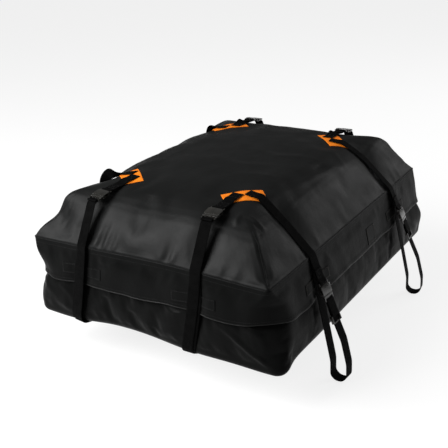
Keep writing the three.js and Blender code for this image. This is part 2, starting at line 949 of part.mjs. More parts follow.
// Every corner and edge crossing of the meshes within a strap's width, seen from its side,
// and pushed out by a clearance all round
function surfaceUnder(strap, clearance, meshes) {
  const cosine = Math.cos(strap.angle);
  const sine = Math.sin(strap.angle);
  const found = [];
  const keep = (p) => found.push(new THREE.Vector2(p.u, p.z));
  for (const mesh of meshes) {
    const { index } = mesh.geometry;
    const position = mesh.geometry.getAttribute("position");
    const local = (i) => {
      const x = position.getX(i) - strap.x;
      const y = position.getY(i) - strap.y;
      const z = position.getZ(i);
      return { u: x * cosine + y * sine, w: y * cosine - x * sine - leanAt(strap, z), z };
    };
    for (let i = 0; i < index.count; i += 3) {
      const corners = [0, 1, 2].map((k) => local(index.getX(i + k)));
      for (let k = 0; k < 3; k++) {
        const a = corners[k];
        const b = corners[(k + 1) % 3];
        if (Math.abs(a.w) <= stripHalf) {
          keep(a);
        }
        for (const edge of [-stripHalf, stripHalf]) {
          if ((a.w - edge) * (b.w - edge) < 0) {
            const t = (edge - a.w) / (b.w - a.w);
            keep({ u: a.u + t * (b.u - a.u), z: a.z + t * (b.z - a.z) });
          }
        }
      }
    }
  }
  const directions = 16;
  const pushed = [];
  for (const p of found.filter((point) => point.x > -patchLength)) {
    for (let k = 0; k < directions; k++) {
      const angle = (2 * Math.PI * k) / directions;
      pushed.push(new THREE.Vector2(Math.cos(angle), Math.sin(angle)).multiplyScalar(clearance).add(p));
    }
  }
  return pushed;
}

// The part of a path from a given distance outwards
function cutFrom(path, distance) {
  const next = path.findIndex((p) => p.x > distance);
  const a = path[next - 1];
  const b = path[next];
  const t = (distance - a.x) / (b.x - a.x);
  return [a.clone().lerp(b, t), ...path.slice(next)];
}

function leaned(geometry, strap) {
  const position = geometry.getAttribute("position");
  for (let i = 0; i < position.count; i++) {
    position.setY(i, position.getY(i) + leanAt(strap, position.getZ(i)));
  }
  return geometry;
}

// The top strap: from the patch, over the lid, to an eye sewn round the female's bar
function makeTopStrap(strap, barCentre) {
  const floor = Math.min(barCentre.y + nearBar, seamHeight);
  const surface = surfaceUnder(strap, strapGap + halfThickness, [lid, stormFlap, ...patches]);
  const reachable = surface.filter((p) => p.x < barCentre.x - nearBar && p.y > floor);
  const start = reachable.reduce((first, p) => (p.x < first.x ? p : first));
  const path = cutFrom(tautPath(start, barCentre, reachable), 0);
  const innerRadius = femaleBarHalf * Math.SQRT2 + hardwareGap;
  const outerRadius = innerRadius + webThickness;
  const doubled = webThickness;
  const end = path.pop();
  const before = path[path.length - 1];
  const run = end.clone().sub(before);
  const direction = run.clone().normalize();
  const neck = Math.sqrt(outerRadius ** 2 - doubled ** 2);
  const step = 1;
  const foldLength = Math.min(eyeFoldLength, run.length() - 2 * step);
  const foldStart = end.clone().addScaledVector(direction, -foldLength);
  const throat = end.clone().addScaledVector(direction, -neck);
  path.push(foldStart, foldStart.clone().addScaledVector(direction, step), throat);
  const halves = path.map((p, i) => (i > path.length - 3 ? doubled : halfThickness));
  const { left, right } = offsetPath(path, halves);
  const heading = direction.angle();
  const eyeSteps = 8;
  const onEye = (radius, angle) => [end.x + radius * Math.cos(angle), end.y + radius * Math.sin(angle)];
  const eye = [];
  const opening = Math.asin(doubled / outerRadius);
  for (let k = 1; k < eyeSteps; k++) {
    const turn = (2 * (Math.PI - opening) * k) / eyeSteps;
    eye.push(onEye(outerRadius, heading + Math.PI - opening - turn));
  }
  const hole = [];
  for (let k = 0; k < eyeSteps; k++) {
    hole.push(onEye(innerRadius, heading + (2 * Math.PI * (k + 0.5)) / eyeSteps));
  }
  const pair = (p) => [p.x, p.y];
  return acrossWeb([...left.map(pair), ...eye, ...right.reverse().map(pair)], [hole]);
}

// The long strap: from under its glide or male half, down round the rail or the crossbar,
// and back up behind itself to where it is sewn on the flap
function makeLongStrap(strap, chain, top, straightEnd) {
  const near = strapGap + halfThickness;
  const solids = [lid, tub, stormFlap];
  const onChain = (distance) => {
    const base = chain.origin.clone().addScaledVector(chain.off, halfThickness);
    return base.addScaledVector(chain.along, distance);
  };
  const start = onChain(top - tailLength);
  const anchorHeight = flapTop - anchorDrop;
  const anchor = new THREE.Vector2(strap.reachOfFlap(anchorHeight) + near, anchorHeight);
  const below = surfaceUnder(strap, near, solids).filter((p) => p.y < anchor.y);
  const down = [start];
  const loop = [];
  const returnStart = new THREE.Vector2();
  if (strap.toRail) {
    const centre = new THREE.Vector2(strap.wall + railDistance, -railDrop);
    const w = railWidth / 2 + near;
    const h = railHeight / 2 + near;
    const r = railRound;
    loop.push(onChain((chain.origin.y - kneeHeight) / -chain.along.y));
    for (const [u, v] of [[w, h - r], [w, r - h], [w - r, -h], [r - w, -h], [-w, r - h]]) {
      loop.push(new THREE.Vector2(centre.x + u, centre.y + v));
    }
    returnStart.set(centre.x - w, centre.y + h - r);
  } else {
    const reach = barTubeSize / 2 + near;
    const r = barRound;
    const twoLayers = 2 * near + gap - halfThickness;
    const centre = new THREE.Vector2(strap.wall - barInset, -twoLayers - barTubeSize / 2);
    const bend = onChain(straightEnd);
    const underBar = new THREE.Vector2(centre.x + reach - r, centre.y - reach);
    const outerLayer = surfaceUnder(strap, 2 * near + strapGap / 2, solids);
    const passed = outerLayer.filter((p) => p.x > bend.x + nearBar || p.y < seamHeight);
    down.push(...tautPath(bend, underBar, passed));
    loop.push(down.pop());
    for (const [u, v] of [[r - reach, -reach], [-reach, r - reach], [-reach, reach - r]]) {
      loop.push(new THREE.Vector2(centre.x + u, centre.y + v));
    }
    returnStart.set(centre.x - reach + r, -near - gap / 2);
  }
  const returning = tautPath(anchor, returnStart, below).reverse();
  const corners = [down[down.length - 1], ...loop, returning[0], returning[1]];
  const path = [...down, ...softened(corners).slice(1, -1), ...returning.slice(1)];
  const { left, right } = offsetPath(path, path.map(() => halfThickness));
  const outline = [...left, ...right.reverse()];
  return leaned(acrossWeb(outline.map((p) => [p.x, p.y])), strap);
}

function addStrap(strap) {
  const group = new THREE.Group();
  group.position.set(strap.x, strap.y, 0);
  group.rotation.z = strap.angle;
  bag.add(group);
  const chain = strap.toRail ? railChain(strap) : barChain(strap);
  const hardware = new THREE.Group();
  hardware.position.set(chain.origin.x, 0, chain.origin.y);
  hardware.rotation.y = Math.atan2(-chain.along.y, chain.along.x);
  group.add(hardware);
  const glideStart = maleEnd + strap.link;
  const linkEnd = strap.toRail ? glideStart + glideBar : glideStart;
  const strapTop = strap.toRail ? glideStart : maleBarStart;
  const barCentre = chain.origin.clone().addScaledVector(chain.off, axisHeight);
  addMesh(group, `top_strap_${strap.name}`, makeTopStrap(strap, barCentre), "webbing");
  addMesh(hardware, `buckle_female_${strap.name}`, makeFemale(), "plastic");
  addMesh(hardware, `buckle_male_${strap.name}`, makeMale(), "plastic");
  addMesh(hardware, `web_link_${strap.name}`, makeLink(linkEnd), "webbing");
  if (strap.toRail) {
    addMesh(hardware, `tri_glide_${strap.name}`, makeGlide(glideStart), "plastic");
  }
  const longStrap = makeLongStrap(strap, chain, strapTop, linkEnd);
  addMesh(group, `long_strap_${strap.name}`, longStrap, "webbing");
}

// On the sides the buckle hangs below the seam, on the line to the rail
function railChain(strap) {
  const knee = new THREE.Vector2(strap.wall + kneeDistance, kneeHeight);
  const steepness = (seamHeight - kneeHeight) / kneeDistance;
  const lead = (p) => p.x + p.y / steepness;
  const surface = surfaceUnder(strap, strapGap + halfThickness, [lid, stormFlap]);
  const edge = surface.filter((p) => p.x > strap.wall - hemDrop && p.y > flapTop - anchorDrop);
  const seam = edge.reduce((best, p) => (lead(p) > lead(best) ? p : best));
  const along = knee.clone().sub(seam).normalize();
  const off = new THREE.Vector2(-along.y, along.x);
  const origin = seam.clone().addScaledVector(along, strap.buckle).addScaledVector(off, -axisHeight);
  return { origin, along, off };
}

// At the ends the buckle lies over the lid's ridge
function barChain(strap) {
  const pitch = THREE.MathUtils.degToRad(endPitchDegrees);
  const along = new THREE.Vector2(Math.cos(pitch), -Math.sin(pitch));
  const off = new THREE.Vector2(-along.y, along.x);
  const start = strap.wall - strap.buckle;
  const hardwareEnd = start + maleEnd + strap.link;
  const slope = lidProfile[1][1];
  const surface = surfaceUnder(strap, 0, [lid]);
  const ridge = surface.filter((p) => p.x < hardwareEnd && p.y > seamHeight + slope);
  const lift = Math.max(...ridge.map((p) => p.y + (p.x - start) * Math.tan(pitch)));
  const origin = new THREE.Vector2(start, lift + ridgeGap);
  return { origin, along, off };
}

for (const strap of strapPlan) {
  const yaw = THREE.MathUtils.degToRad(strap.yaw);
  strap.toRail = strap.side === "right" || strap.side === "left";
  strap.angle = THREE.MathUtils.degToRad(headings[strap.side]) + yaw;
  const pivot = Math.abs(strap.toRail ? strap.x : strap.y);
  const skew = stripHalf * Math.abs(Math.tan(yaw));
  strap.wall = ((strap.toRail ? halfWidth : halfLength) - pivot) / Math.cos(yaw);
  strap.reachOfFlap = (z) => (flapOuterX(strap.side, z) - pivot) / Math.cos(yaw) + skew;
}

// Each keeper sits where its strap crosses the flap
const keepers = strapPlan.map((strap) => {
  const lean = leanAt(strap, keeperHeight);
  const crossingX = strap.x + strap.wall * Math.cos(strap.angle) - lean * Math.sin(strap.angle);
  const crossingY = strap.y + strap.wall * Math.sin(strap.angle) + lean * Math.cos(strap.angle);
  return { side: strap.side, along: strap.toRail ? crossingY : crossingX };
});

const stormFlap = addMesh(bag, "storm_flap", makeFlap(keepers), "fabric");
bag.updateMatrixWorld(true);

for (const strap of strapPlan) {
  addStrap(strap);
}

export default bag;
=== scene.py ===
# Roof cargo bag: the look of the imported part. Sizes are in millimetres until a mesh is made.
import json
import math

import bmesh
import bpy
import numpy as np
from mathutils import Matrix, Vector, noise
from mathutils.bvhtree import BVHTree


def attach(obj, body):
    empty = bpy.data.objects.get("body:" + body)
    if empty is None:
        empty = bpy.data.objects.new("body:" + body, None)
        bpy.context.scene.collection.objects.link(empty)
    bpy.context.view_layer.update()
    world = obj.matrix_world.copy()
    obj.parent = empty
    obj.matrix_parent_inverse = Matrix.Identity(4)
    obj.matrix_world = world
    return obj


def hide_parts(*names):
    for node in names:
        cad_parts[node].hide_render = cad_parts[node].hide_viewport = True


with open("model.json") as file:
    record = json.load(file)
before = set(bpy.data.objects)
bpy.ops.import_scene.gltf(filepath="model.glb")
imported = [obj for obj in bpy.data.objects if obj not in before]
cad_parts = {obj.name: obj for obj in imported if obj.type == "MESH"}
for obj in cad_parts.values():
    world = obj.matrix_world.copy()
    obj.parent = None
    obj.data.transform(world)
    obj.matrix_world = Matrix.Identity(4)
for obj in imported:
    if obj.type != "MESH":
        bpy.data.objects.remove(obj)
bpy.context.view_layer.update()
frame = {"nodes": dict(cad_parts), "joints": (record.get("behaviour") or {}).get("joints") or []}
nodes = frame["nodes"]
slides = {joint["name"]: joint for joint in frame["joints"]}

MM = 0.001
UP = np.array([0.0, 0.0, 1.0])


def linked(name, data):
    """A new object of the scene."""
    item = bpy.data.objects.new(name, data)
    bpy.context.scene.collection.objects.link(item)
    return item


# Camera: fitted to the corners, the seam and the patches of the 448 pixel photograph

def add_camera():
    azimuth = math.radians(33.2)
    elevation = math.radians(22.9)
    roll = math.radians(-3)
    place = (1.42612, -2.27942, 1.30716)
    focal_pixels = 819
    photo_pixels = 448
    sensor = 36
    right = Vector((math.cos(azimuth), math.sin(azimuth), 0))
    back = Vector((math.sin(azimuth), -math.cos(azimuth), 0)) * math.cos(elevation)
    back.z = math.sin(elevation)
    up = back.cross(right)
    turned_right = right * math.cos(roll) + up * math.sin(roll)
    turned_up = up * math.cos(roll) - right * math.sin(roll)
    matrix = Matrix((turned_right, turned_up, back)).transposed().to_4x4()
    matrix.translation = place
    data = bpy.data.cameras.new("camera")
    data.sensor_width = sensor
    data.sensor_fit = "HORIZONTAL"
    data.lens = focal_pixels / photo_pixels * sensor
    data.clip_end = 100
    camera = linked("camera", data)
    camera.matrix_world = matrix
    bpy.context.scene.camera = camera


add_camera()


# Materials

def emptied(owner):
    """The node tree of a material or a world, with no node in it."""
    owner.use_nodes = True
    owner.node_tree.nodes.clear()
    return owner.node_tree


def shader_node(tree, kind, inputs=None, **settings):
    """A new node. Each input gets a value, or a link from another node's output."""
    node = tree.nodes.new("ShaderNode" + kind)
    for key, value in settings.items():
        setattr(node, key, value)
    for key, value in (inputs or {}).items():
        if isinstance(value, bpy.types.NodeSocket):
            tree.links.new(value, node.inputs[key])
        else:
            node.inputs[key].default_value = value
    return node


class Finish:
    """A material with one Principled shader, whose colour varies between a dark and a light one."""

    def __init__(self, name, roughness, specular, colours, scale, detail=2.0, metallic=0.0):
        self.material = bpy.data.materials.new(name)
        self.tree = emptied(self.material)
        self.place = shader_node(self.tree, "TexCoord").outputs
        blend = self.node("ValToRGB", {"Fac": self.noise(scale, detail)})
        for stop, position, colour in zip(blend.color_ramp.elements, (0.35, 0.65), colours):
            stop.position = position
            stop.color = (*colour, 1)
        self.shader = self.node("BsdfPrincipled", {
            "Base Color": blend.outputs["Color"], "Roughness": roughness,
            "Specular IOR Level": specular, "Metallic": metallic})
        self.node("OutputMaterial", {"Surface": self.shader.outputs["BSDF"]})
        self.height = None

    def node(self, kind, inputs, **settings):
        return shader_node(self.tree, kind, inputs, **settings)

    def noise(self, scale, detail=2.0, rough=0.5):
        inputs = {"Vector": self.place["Object"], "Scale": scale, "Detail": detail, "Roughness": rough}
        return self.node("TexNoise", inputs).outputs["Fac"]

    def wave(self, scale, direction, source="UV", distortion=0.0):
        inputs = {"Vector": self.place[source], "Scale": scale, "Distortion": distortion}
        return self.node("TexWave", inputs, bands_direction=direction).outputs["Fac"]

    def grain(self, scale):
        inputs = {"Vector": self.place["Object"], "Scale": scale}
        return self.node("TexVoronoi", inputs).outputs["Distance"]

    def math(self, operation, first, second):
        return self.node("Math", {0: first, 1: second}, operation=operation).outputs["Value"]

    def rough(self, scale, low, high):
        """Lets the roughness vary, from a low to a high value over the noise's middle range."""
        spread = self.node("MapRange", {
            "Value": self.noise(scale, 4), "From Min": 0.3, "From Max": 0.7,
            "To Min": low, "To Max": high})
        self.tree.links.new(spread.outputs["Result"], self.shader.inputs["Roughness"])

    def bump(self, height, depth, strength=1.0):
        """Adds a layer of bump, whose depth is in metres."""
        inputs = {"Height": height, "Distance": depth, "Strength": strength}
        if self.height is not None:
            inputs["Normal"] = self.height
        self.height = self.node("Bump", inputs).outputs["Normal"]
        self.tree.links.new(self.height, self.shader.inputs["Normal"])


def grey(value):
    return (value, value, value)


def coated_fabric(name, dark, light, specular, roughness):
    finish = Finish(name, roughness, specular, (dark, light), 5, 3)
    finish.rough(14, roughness - 0.05, roughness + 0.05)
    finish.bump(finish.noise(24, 3, 0.55), 0.003, 0.35)
    finish.bump(finish.noise(90), 0.0006, 0.3)
    finish.bump(finish.grain(1500), 0.00012, 0.35)
    return finish.material


def patch_fabric():
    finish = Finish("patch_fabric", 0.62, 0.25, ((0.93, 0.22, 0.006), (1.0, 0.27, 0.01)), 60, 4)
    finish.bump(finish.math("MAXIMUM", finish.wave(320, "X"), finish.wave(320, "Y")), 0.00022, 0.6)
    finish.bump(finish.noise(45), 0.001, 0.3)
    return finish.material


def webbing():
    finish = Finish("webbing", 0.7, 0.03, (grey(0.0009), grey(0.0026)), 40, 4)
    rib = finish.wave(180, "Y", distortion=0.2)
    twill = finish.wave(210, "DIAGONAL", distortion=0.1)
    finish.bump(finish.math("MULTIPLY", rib, finish.math("ADD", twill, 0.4)), 0.0004, 0.8)
    finish.bump(finish.wave(70, "X"), 0.0002, 0.4)
    finish.bump(finish.noise(25), 0.001, 0.3)
    return finish.material


def moulded_plastic():
    finish = Finish("buckle_plastic", 0.26, 0.55, ((0.012, 0.0115, 0.01), (0.022, 0.021, 0.018)), 30, 3)
    finish.rough(70, 0.2, 0.34)
    finish.bump(finish.noise(900), 0.00004, 0.4)
    return finish.material


def zip_tape():
    finish = Finish("zip_tape", 0.75, 0.15, (grey(0.006), grey(0.011)), 50, 3)
    finish.bump(finish.wave(260, "X", "Object"), 0.0002, 0.5)
    return finish.material


def zip_metal():
    finish = Finish("zip_metal", 0.32, 0.5, ((0.10, 0.10, 0.105), (0.2, 0.2, 0.205)), 80, 4, metallic=1.0)
    finish.rough(160, 0.26, 0.42)
    finish.bump(finish.noise(600), 0.00005, 0.3)
    return finish.material


def thread(name, dark, light):
    finish = Finish(name, 0.55, 0.3, (dark, light), 200)
    finish.bump(finish.wave(900, "DIAGONAL", "Object"), 0.0001, 0.5)
    return finish.material


LID_FABRIC = coated_fabric("lid_fabric", (0.006, 0.0063, 0.0062), (0.0085, 0.0088, 0.0087), 0.1, 0.48)
# The walls, flap, welt and keepers use the lid's coated fabric made darker and less glossy: painted shade on
# the bag's sides.
SHADED_WALL_FABRIC = coated_fabric("wall_fabric", (0.0038, 0.004, 0.0039), (0.0058, 0.006, 0.0059), 0.04, 0.36)
# The hem's copy of the coated fabric is lighter and glossier than the flap: a painted highlight along the
# flap's lower edge.
HEM_HIGHLIGHT_FABRIC = coated_fabric("hem_fabric", (0.007, 0.007, 0.0068), (0.026, 0.026, 0.025), 0.16, 0.3)
PATCH_FABRIC = patch_fabric()
WEBBING = webbing()
PLASTIC = moulded_plastic()
ZIP_TAPE = zip_tape()
ZIP_METAL = zip_metal()
# Near-black thread, darker than the cloth: the thread's own black, and painted shade where it draws the dark
# lines of the seam, the darts and the keepers' edges.
DARK_THREAD = thread("dark_thread", grey(0.0018), grey(0.004))
# Pale thread for the right side's keepers and tab: painted highlight on stitches that are near-black on the
# other sides.
PALE_HIGHLIGHT_THREAD = thread("olive_thread", (0.022, 0.02, 0.013), (0.06, 0.055, 0.038))
ORANGE_THREAD = thread("orange_thread", (0.75, 0.16, 0.005), (0.85, 0.2, 0.01))


# Curves and tables

# How quickly a crease rises at its ends: the power of a sine along it
CREASE_TAPER = 0.6


def bell(distance, width):
    return np.exp(-((distance / width) ** 2))


def ramp(value, start, end):
    """0 up to the start and 1 from the end on, in a straight line between them."""
    return np.clip((value - start) / (end - start), 0, 1)


def from_table(value, table):
    """The second column of a table at a value of its first one."""
    return np.interp(value, *zip(*table))


def unit(vectors):
    return vectors / np.linalg.norm(vectors, axis=-1, keepdims=True)


def run_of(path):
    """How far along a path each of its points is."""
    steps = np.linalg.norm(np.diff(path, axis=0), axis=1)
    return np.concatenate([[0], np.cumsum(steps)])


def at_run(at, run, path):
    """Values of a path at some distances along it."""
    return np.stack([np.interp(at, run, path[:, k]) for k in range(path.shape[1])], -1)


def respaced(path, step):
    run = run_of(path)
    count = max(2, int(round(run[-1] / step)) + 1)
    return at_run(np.linspace(0, run[-1], count), run, path)


def softened(values, width):
    """A row of values smoothed by a bell curve, with its ends kept."""
    reach = int(4 * width)
    weights = np.exp(-((np.arange(-reach, reach + 1) / width) ** 2) / 2)
    weights /= weights.sum()
    before = 2 * values[:1] - values[reach:0:-1]
    after = 2 * values[-1:] - values[-2:-reach - 2:-1]
    padded = np.concatenate([before, values, after])
    if values.ndim == 1:
        return np.convolve(padded, weights, "valid")
    return np.stack([np.convolve(column, weights, "valid") for column in padded.T], 1)


def waves(points, *layers):
    """Heights of smooth noise. A layer is its height, the width of its bumps and its seed."""
    flat = points.reshape(-1, 3)
    total = np.zeros(len(flat))
    for height, size, seed in layers:
        shift = Vector((17.3 * seed, 5.1 * seed, 9.7 * seed))
        total += height * np.array([noise.noise(Vector(p) + shift) for p in (flat / size).tolist()])
    return total.reshape(points.shape[:-1])


def crease(points, line, height, width, fold):
    """Heights of a ridge along a line. A fold of 1 puts a groove beside it."""
    line = np.array(line, float)
    nearest = np.full(points.shape[:-1], 1e9)
    travelled = np.zeros(points.shape[:-1])
    side = np.zeros(points.shape[:-1])
    start = 0.0
    for a, b in zip(line[:-1], line[1:]):
        length = np.linalg.norm(b - a)
        direction = (b - a) / length
        run = np.clip((points - a) @ direction, 0, length)
        away = points - (a + run[..., None] * direction)
        distance = np.linalg.norm(away, axis=-1)
        closer = distance < nearest
        nearest = np.where(closer, distance, nearest)
        travelled = np.where(closer, start + run, travelled)
        side = np.where(closer, away @ np.cross(direction, UP), side)
        start += length
    taper = np.sin(np.pi * np.clip(travelled / start, 0, 1)) ** CREASE_TAPER
    groove = bell(side + width, width) * bell(nearest, 2 * width)
    return height * taper * (bell(nearest, width) - fold * groove)


# Meshes

def add_piece(name, points, faces, material, slot="coated_fabric", body="bag", uvs=None):
    mesh = bpy.data.meshes.new(name)
    mesh.from_pydata((np.asarray(points).reshape(-1, 3) * MM).tolist(), [], faces)
    mesh.materials.append(material)
    if uvs is not None:
        layer = mesh.uv_layers.new(name="cloth")
        corners = np.empty(len(mesh.loops), dtype=np.int64)
        mesh.loops.foreach_get("vertex_index", corners)
        layer.data.foreach_set("uv", (np.asarray(uvs).reshape(-1, 2)[corners] * MM).ravel())
    mesh.shade_smooth()
    piece = linked(name, mesh)
    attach(piece, body)
    return piece


def mesh_points(data):
    points = np.empty(3 * len(data.vertices))
    data.vertices.foreach_get("co", points)
    return points.reshape(-1, 3) / MM


def grid_faces(rows, columns, closed=True, looped=False):
    """Quads of a grid whose columns run anticlockwise seen from outside.

    Closed joins its last column to its first one, and looped its last row to its first one.
    """
    faces = []
    for r in range(rows if looped else rows - 1):
        here = r * columns
        there = (r + 1) % rows * columns
        for c in range(columns if closed else columns - 1):
            d = (c + 1) % columns
            faces.append((here + c, here + d, there + d, there + c))
    return faces


def flipped(faces):
    return [face[::-1] for face in faces]


def capped(grid, first, last):
    """Points and faces of a grid of closed rings, with a fan from each end ring to a point."""
    rows, columns = grid.shape[:2]
    count = rows * columns
    end = count - columns
    sides = [(c, (c + 1) % columns) for c in range(columns)]
    faces = grid_faces(rows, columns)
    faces += [(d, c, count) for c, d in sides]
    faces += [(end + c, end + d, count + 1) for c, d in sides]
    return np.concatenate([grid.reshape(-1, 3), [first, last]]), faces


def grid_normals(points):
    """Outward directions at the points of a grid of closed rings."""
    along = np.roll(points, -1, 1) - np.roll(points, 1, 1)
    normals = np.cross(along, np.gradient(points, axis=0))
    length = np.linalg.norm(normals, axis=-1, keepdims=True)
    return normals / np.maximum(length, 1e-9)


def tree_of(grid):
    """A search tree of a grid of closed rings."""
    return BVHTree.FromPolygons(grid.reshape(-1, 3).tolist(), grid_faces(*grid.shape[:2]))


# The bag's outline

HALF_WIDTH = 435
HALF_LENGTH = 560
SEAM = 264
ZIP = 200
BASE_EDGE = 26
FLARE_RIGHT = 38
FLARE_LEFT = -4
FLARE_REAR = 20
RECESS = 8
# Radii of the front right, rear right, rear left and front left corners at some heights
CORNER_RADII = [
    (0, (44, 40, 40, 34)), (60, (74, 36, 38, 30)), (139, (88, 32, 36, 24)), (200, (66, 26, 30, 18)),
    (SEAM, (8, 10, 10, 8)),
]
# Where the photographed bag leaves its box: a place, how far that reaches and the shift there
WARPS = [
    ((-435, -560, 264), (90, 90, 70), (-4, -1, -2)),
    ((80, -560, 264), (230, 120, 60), (0, 0, 9)),
    ((-345, -462, 392), (62, 62, 60), (-7, -6, 7)),
    ((345, 463, 392), (62, 62, 60), (4, 6, 6)),
    ((-365, -512, 325), (55, 40, 48), (1, 12, -8)),
    ((-408, -536, 297), (44, 44, 30), (-5, -6, 0)),
    ((-60, -512, 330), (230, 60, 62), (0, -7, 5)),
    ((460, 560, 85), (90, 90, 38), (10, 8, 0)),
    ((345, -250, 385), (55, 130, 60), (-8, 0, -13)),
    ((-435, -560, 150), (60, 60, 45), (17, 5, 0)),
    ((-435, -560, 0), (110, 110, 90), (-22, -8, -8)),
    ((-290, -560, 0), (120, 50, 60), (0, -8, -14)),
    ((190, -560, 0), (170, 50, 60), (0, -8, -13)),
    ((420, -560, 0), (120, 60, 60), (15, -4, -13)),
    ((-320, -560, 70), (90, 60, 50), (0, -7, 0)),
    ((120, -560, 60), (110, 60, 50), (0, -6, 0)),
]
CORNER_STEPS = 20
LONG_STEPS = 160
SHORT_STEPS = 124
COLUMNS = 4 * (CORNER_STEPS + 1) + 2 * (LONG_STEPS - 1) + 2 * (SHORT_STEPS - 1)


def radius_at(z):
    """The four corners' radii at a height."""
    heights, radii = zip(*CORNER_RADII)
    return np.array([np.interp(z, heights, each) for each in zip(*radii)])


def warped(points):
    """The points moved off the box's plain shape, as the photographed bag is."""
    moved = points.copy()
    for place, reach, shift in WARPS:
        away = ((points - place) / reach) ** 2
        moved += np.exp(-away.sum(-1))[..., None] * shift
    return moved


def outline(z, outset, radius=None):
    """One closed ring of points, anticlockwise from the front right corner."""
    if radius is None:
        radius = radius_at(z) + outset
    spread = max(0.0, 1 - z / SEAM)
    right = HALF_WIDTH + FLARE_RIGHT * spread
    left = HALF_WIDTH + FLARE_LEFT * spread
    rear = HALF_LENGTH + FLARE_REAR * spread
    inner = outset - radius
    corners = [
        (right + inner[0], -HALF_LENGTH - inner[0], -90, LONG_STEPS),
        (right + inner[1], rear + inner[1], 0, SHORT_STEPS),
        (-left - inner[2], rear + inner[2], 90, LONG_STEPS),
        (-left - inner[3], -HALF_LENGTH - inner[3], 180, SHORT_STEPS),
    ]
    arcs = []
    for (x, y, start, _), round_by in zip(corners, radius):
        angle = np.radians(start + 90 * np.arange(CORNER_STEPS + 1) / CORNER_STEPS)
        arcs.append(np.stack([x + round_by * np.cos(angle), y + round_by * np.sin(angle)], 1))
    points = []
    for k, (_, _, _, steps) in enumerate(corners):
        start = arcs[k][-1]
        end = arcs[(k + 1) % 4][0]
        share = (np.arange(1, steps) / steps)[:, None]
        points += [arcs[k], start + (end - start) * share]
    flat = np.concatenate(points)
    return np.column_stack([flat, np.full(len(flat), float(z))])


# Straps: one heading for each side, and how far each turns and leans from it

HEADINGS = {"front": -90, "right": 0, "rear": 90, "left": 180}
RAIL_SIDES = ("right", "left")
STRAP_PLAN = [
    ("front_right", 195.8, -311, "front", 0, -44),
    ("front_left", -195.8, -311, "front", -8, -44),
    ("right_front", 217, -289.8, "right", -3, 0),
    ("right_rear", 217, 289.8, "right", 8, 0),
    ("rear_right", 195.8, 311, "rear", 0, 0),
    ("rear_left", -195.8, 311, "rear", 0, 0),
    ("left_front", -217, -289.8, "left", 0, 0),
    ("left_rear", -217, 289.8, "left", 0, 0),
]
WEB_WIDTH = 38
WEB_THICKNESS = 1.6
LEAN_POWER = 1.4
# The patches' middles, near which the straps start
PATCH_X = 217
PATCH_Y = 311
PATCHES = {
    "front_right": (1, -1), "front_left": (-1, -1), "rear_right": (1, 1), "rear_left": (-1, 1),
}


class Strap:
    """One strap's own frame: u runs outwards along it, w across it and z up."""

    def __init__(self, name, x, y, side, yaw, lean):
        self.name = name
        self.side = side
        self.lean = lean
        self.to_rail = side in RAIL_SIDES
        angle = math.radians(HEADINGS[side] + yaw)
        self.start = np.array([x, y, 0.0])
        self.out = np.array([math.cos(angle), math.sin(angle), 0.0])
        self.across = np.array([-math.sin(angle), math.cos(angle), 0.0])
        half = HALF_WIDTH if self.to_rail else HALF_LENGTH
        pivot = abs(x if self.to_rail else y)
        self.wall = (half - pivot) / math.cos(math.radians(yaw))

    def lean_at(self, z):
        return self.lean * np.clip(1 - z / SEAM, 0, 1) ** LEAN_POWER

    def local(self, points):
        """u, w and z of points of the bag, with the lean taken off w."""
        away = points - self.start
        z = points[..., 2]
        return np.stack([away @ self.out, away @ self.across - self.lean_at(z), z], -1)

    def world(self, u, w, z):
        w = np.asarray(w) + self.lean_at(np.asarray(z))
        return self.start + np.multiply.outer(u, self.out) + np.multiply.outer(w, self.across) \
            + np.multiply.outer(z, UP)


STRAPS = [Strap(*row) for row in STRAP_PLAN]


# Cloth simulation: a coarse copy of a skin, swollen a little and held where straps press it

SIM_FRAMES = 20
SIM_COLUMN_STEP = 3
SIM_ROW_STEP = 2
CLOTH = {
    "quality": 6, "mass": 0.3, "tension_stiffness": 20, "compression_stiffness": 8,
    "shear_stiffness": 6, "vertex_group_mass": "held", "pin_stiffness": 5, "use_pressure": True,
}
# The right side is smoother in the photograph: the share of its folds that is left out
CALM_RIGHT = 0.6


def simulated(points, faces, held, growth, pressure, bending):
    """Where the points of a cloth come to rest between its held places."""
    mesh = bpy.data.meshes.new("cloth_trial")
    mesh.from_pydata((points * MM).tolist(), [], faces)
    trial = linked("cloth_trial", mesh)
    group = trial.vertex_groups.new(name="held")
    for index, weight in enumerate(held.tolist()):
        group.add([index], weight, "REPLACE")
    cloth = trial.modifiers.new("cloth", "CLOTH")
    settings = cloth.settings
    for key, value in CLOTH.items():
        setattr(settings, key, value)
    settings.bending_stiffness = bending
    settings.shrink_min = -growth
    settings.uniform_pressure_force = pressure
    settings.effector_weights.gravity = 0
    cloth.point_cache.frame_start = 1
    cloth.point_cache.frame_end = SIM_FRAMES
    scene = bpy.context.scene
    for frame_number in range(1, SIM_FRAMES + 1):
        scene.frame_set(frame_number)
    result = trial.evaluated_get(bpy.context.evaluated_depsgraph_get())
    rested = mesh_points(result.data)
    scene.frame_set(1)
    bpy.data.objects.remove(trial, do_unlink=True)
    bpy.data.meshes.remove(mesh)
    return rested


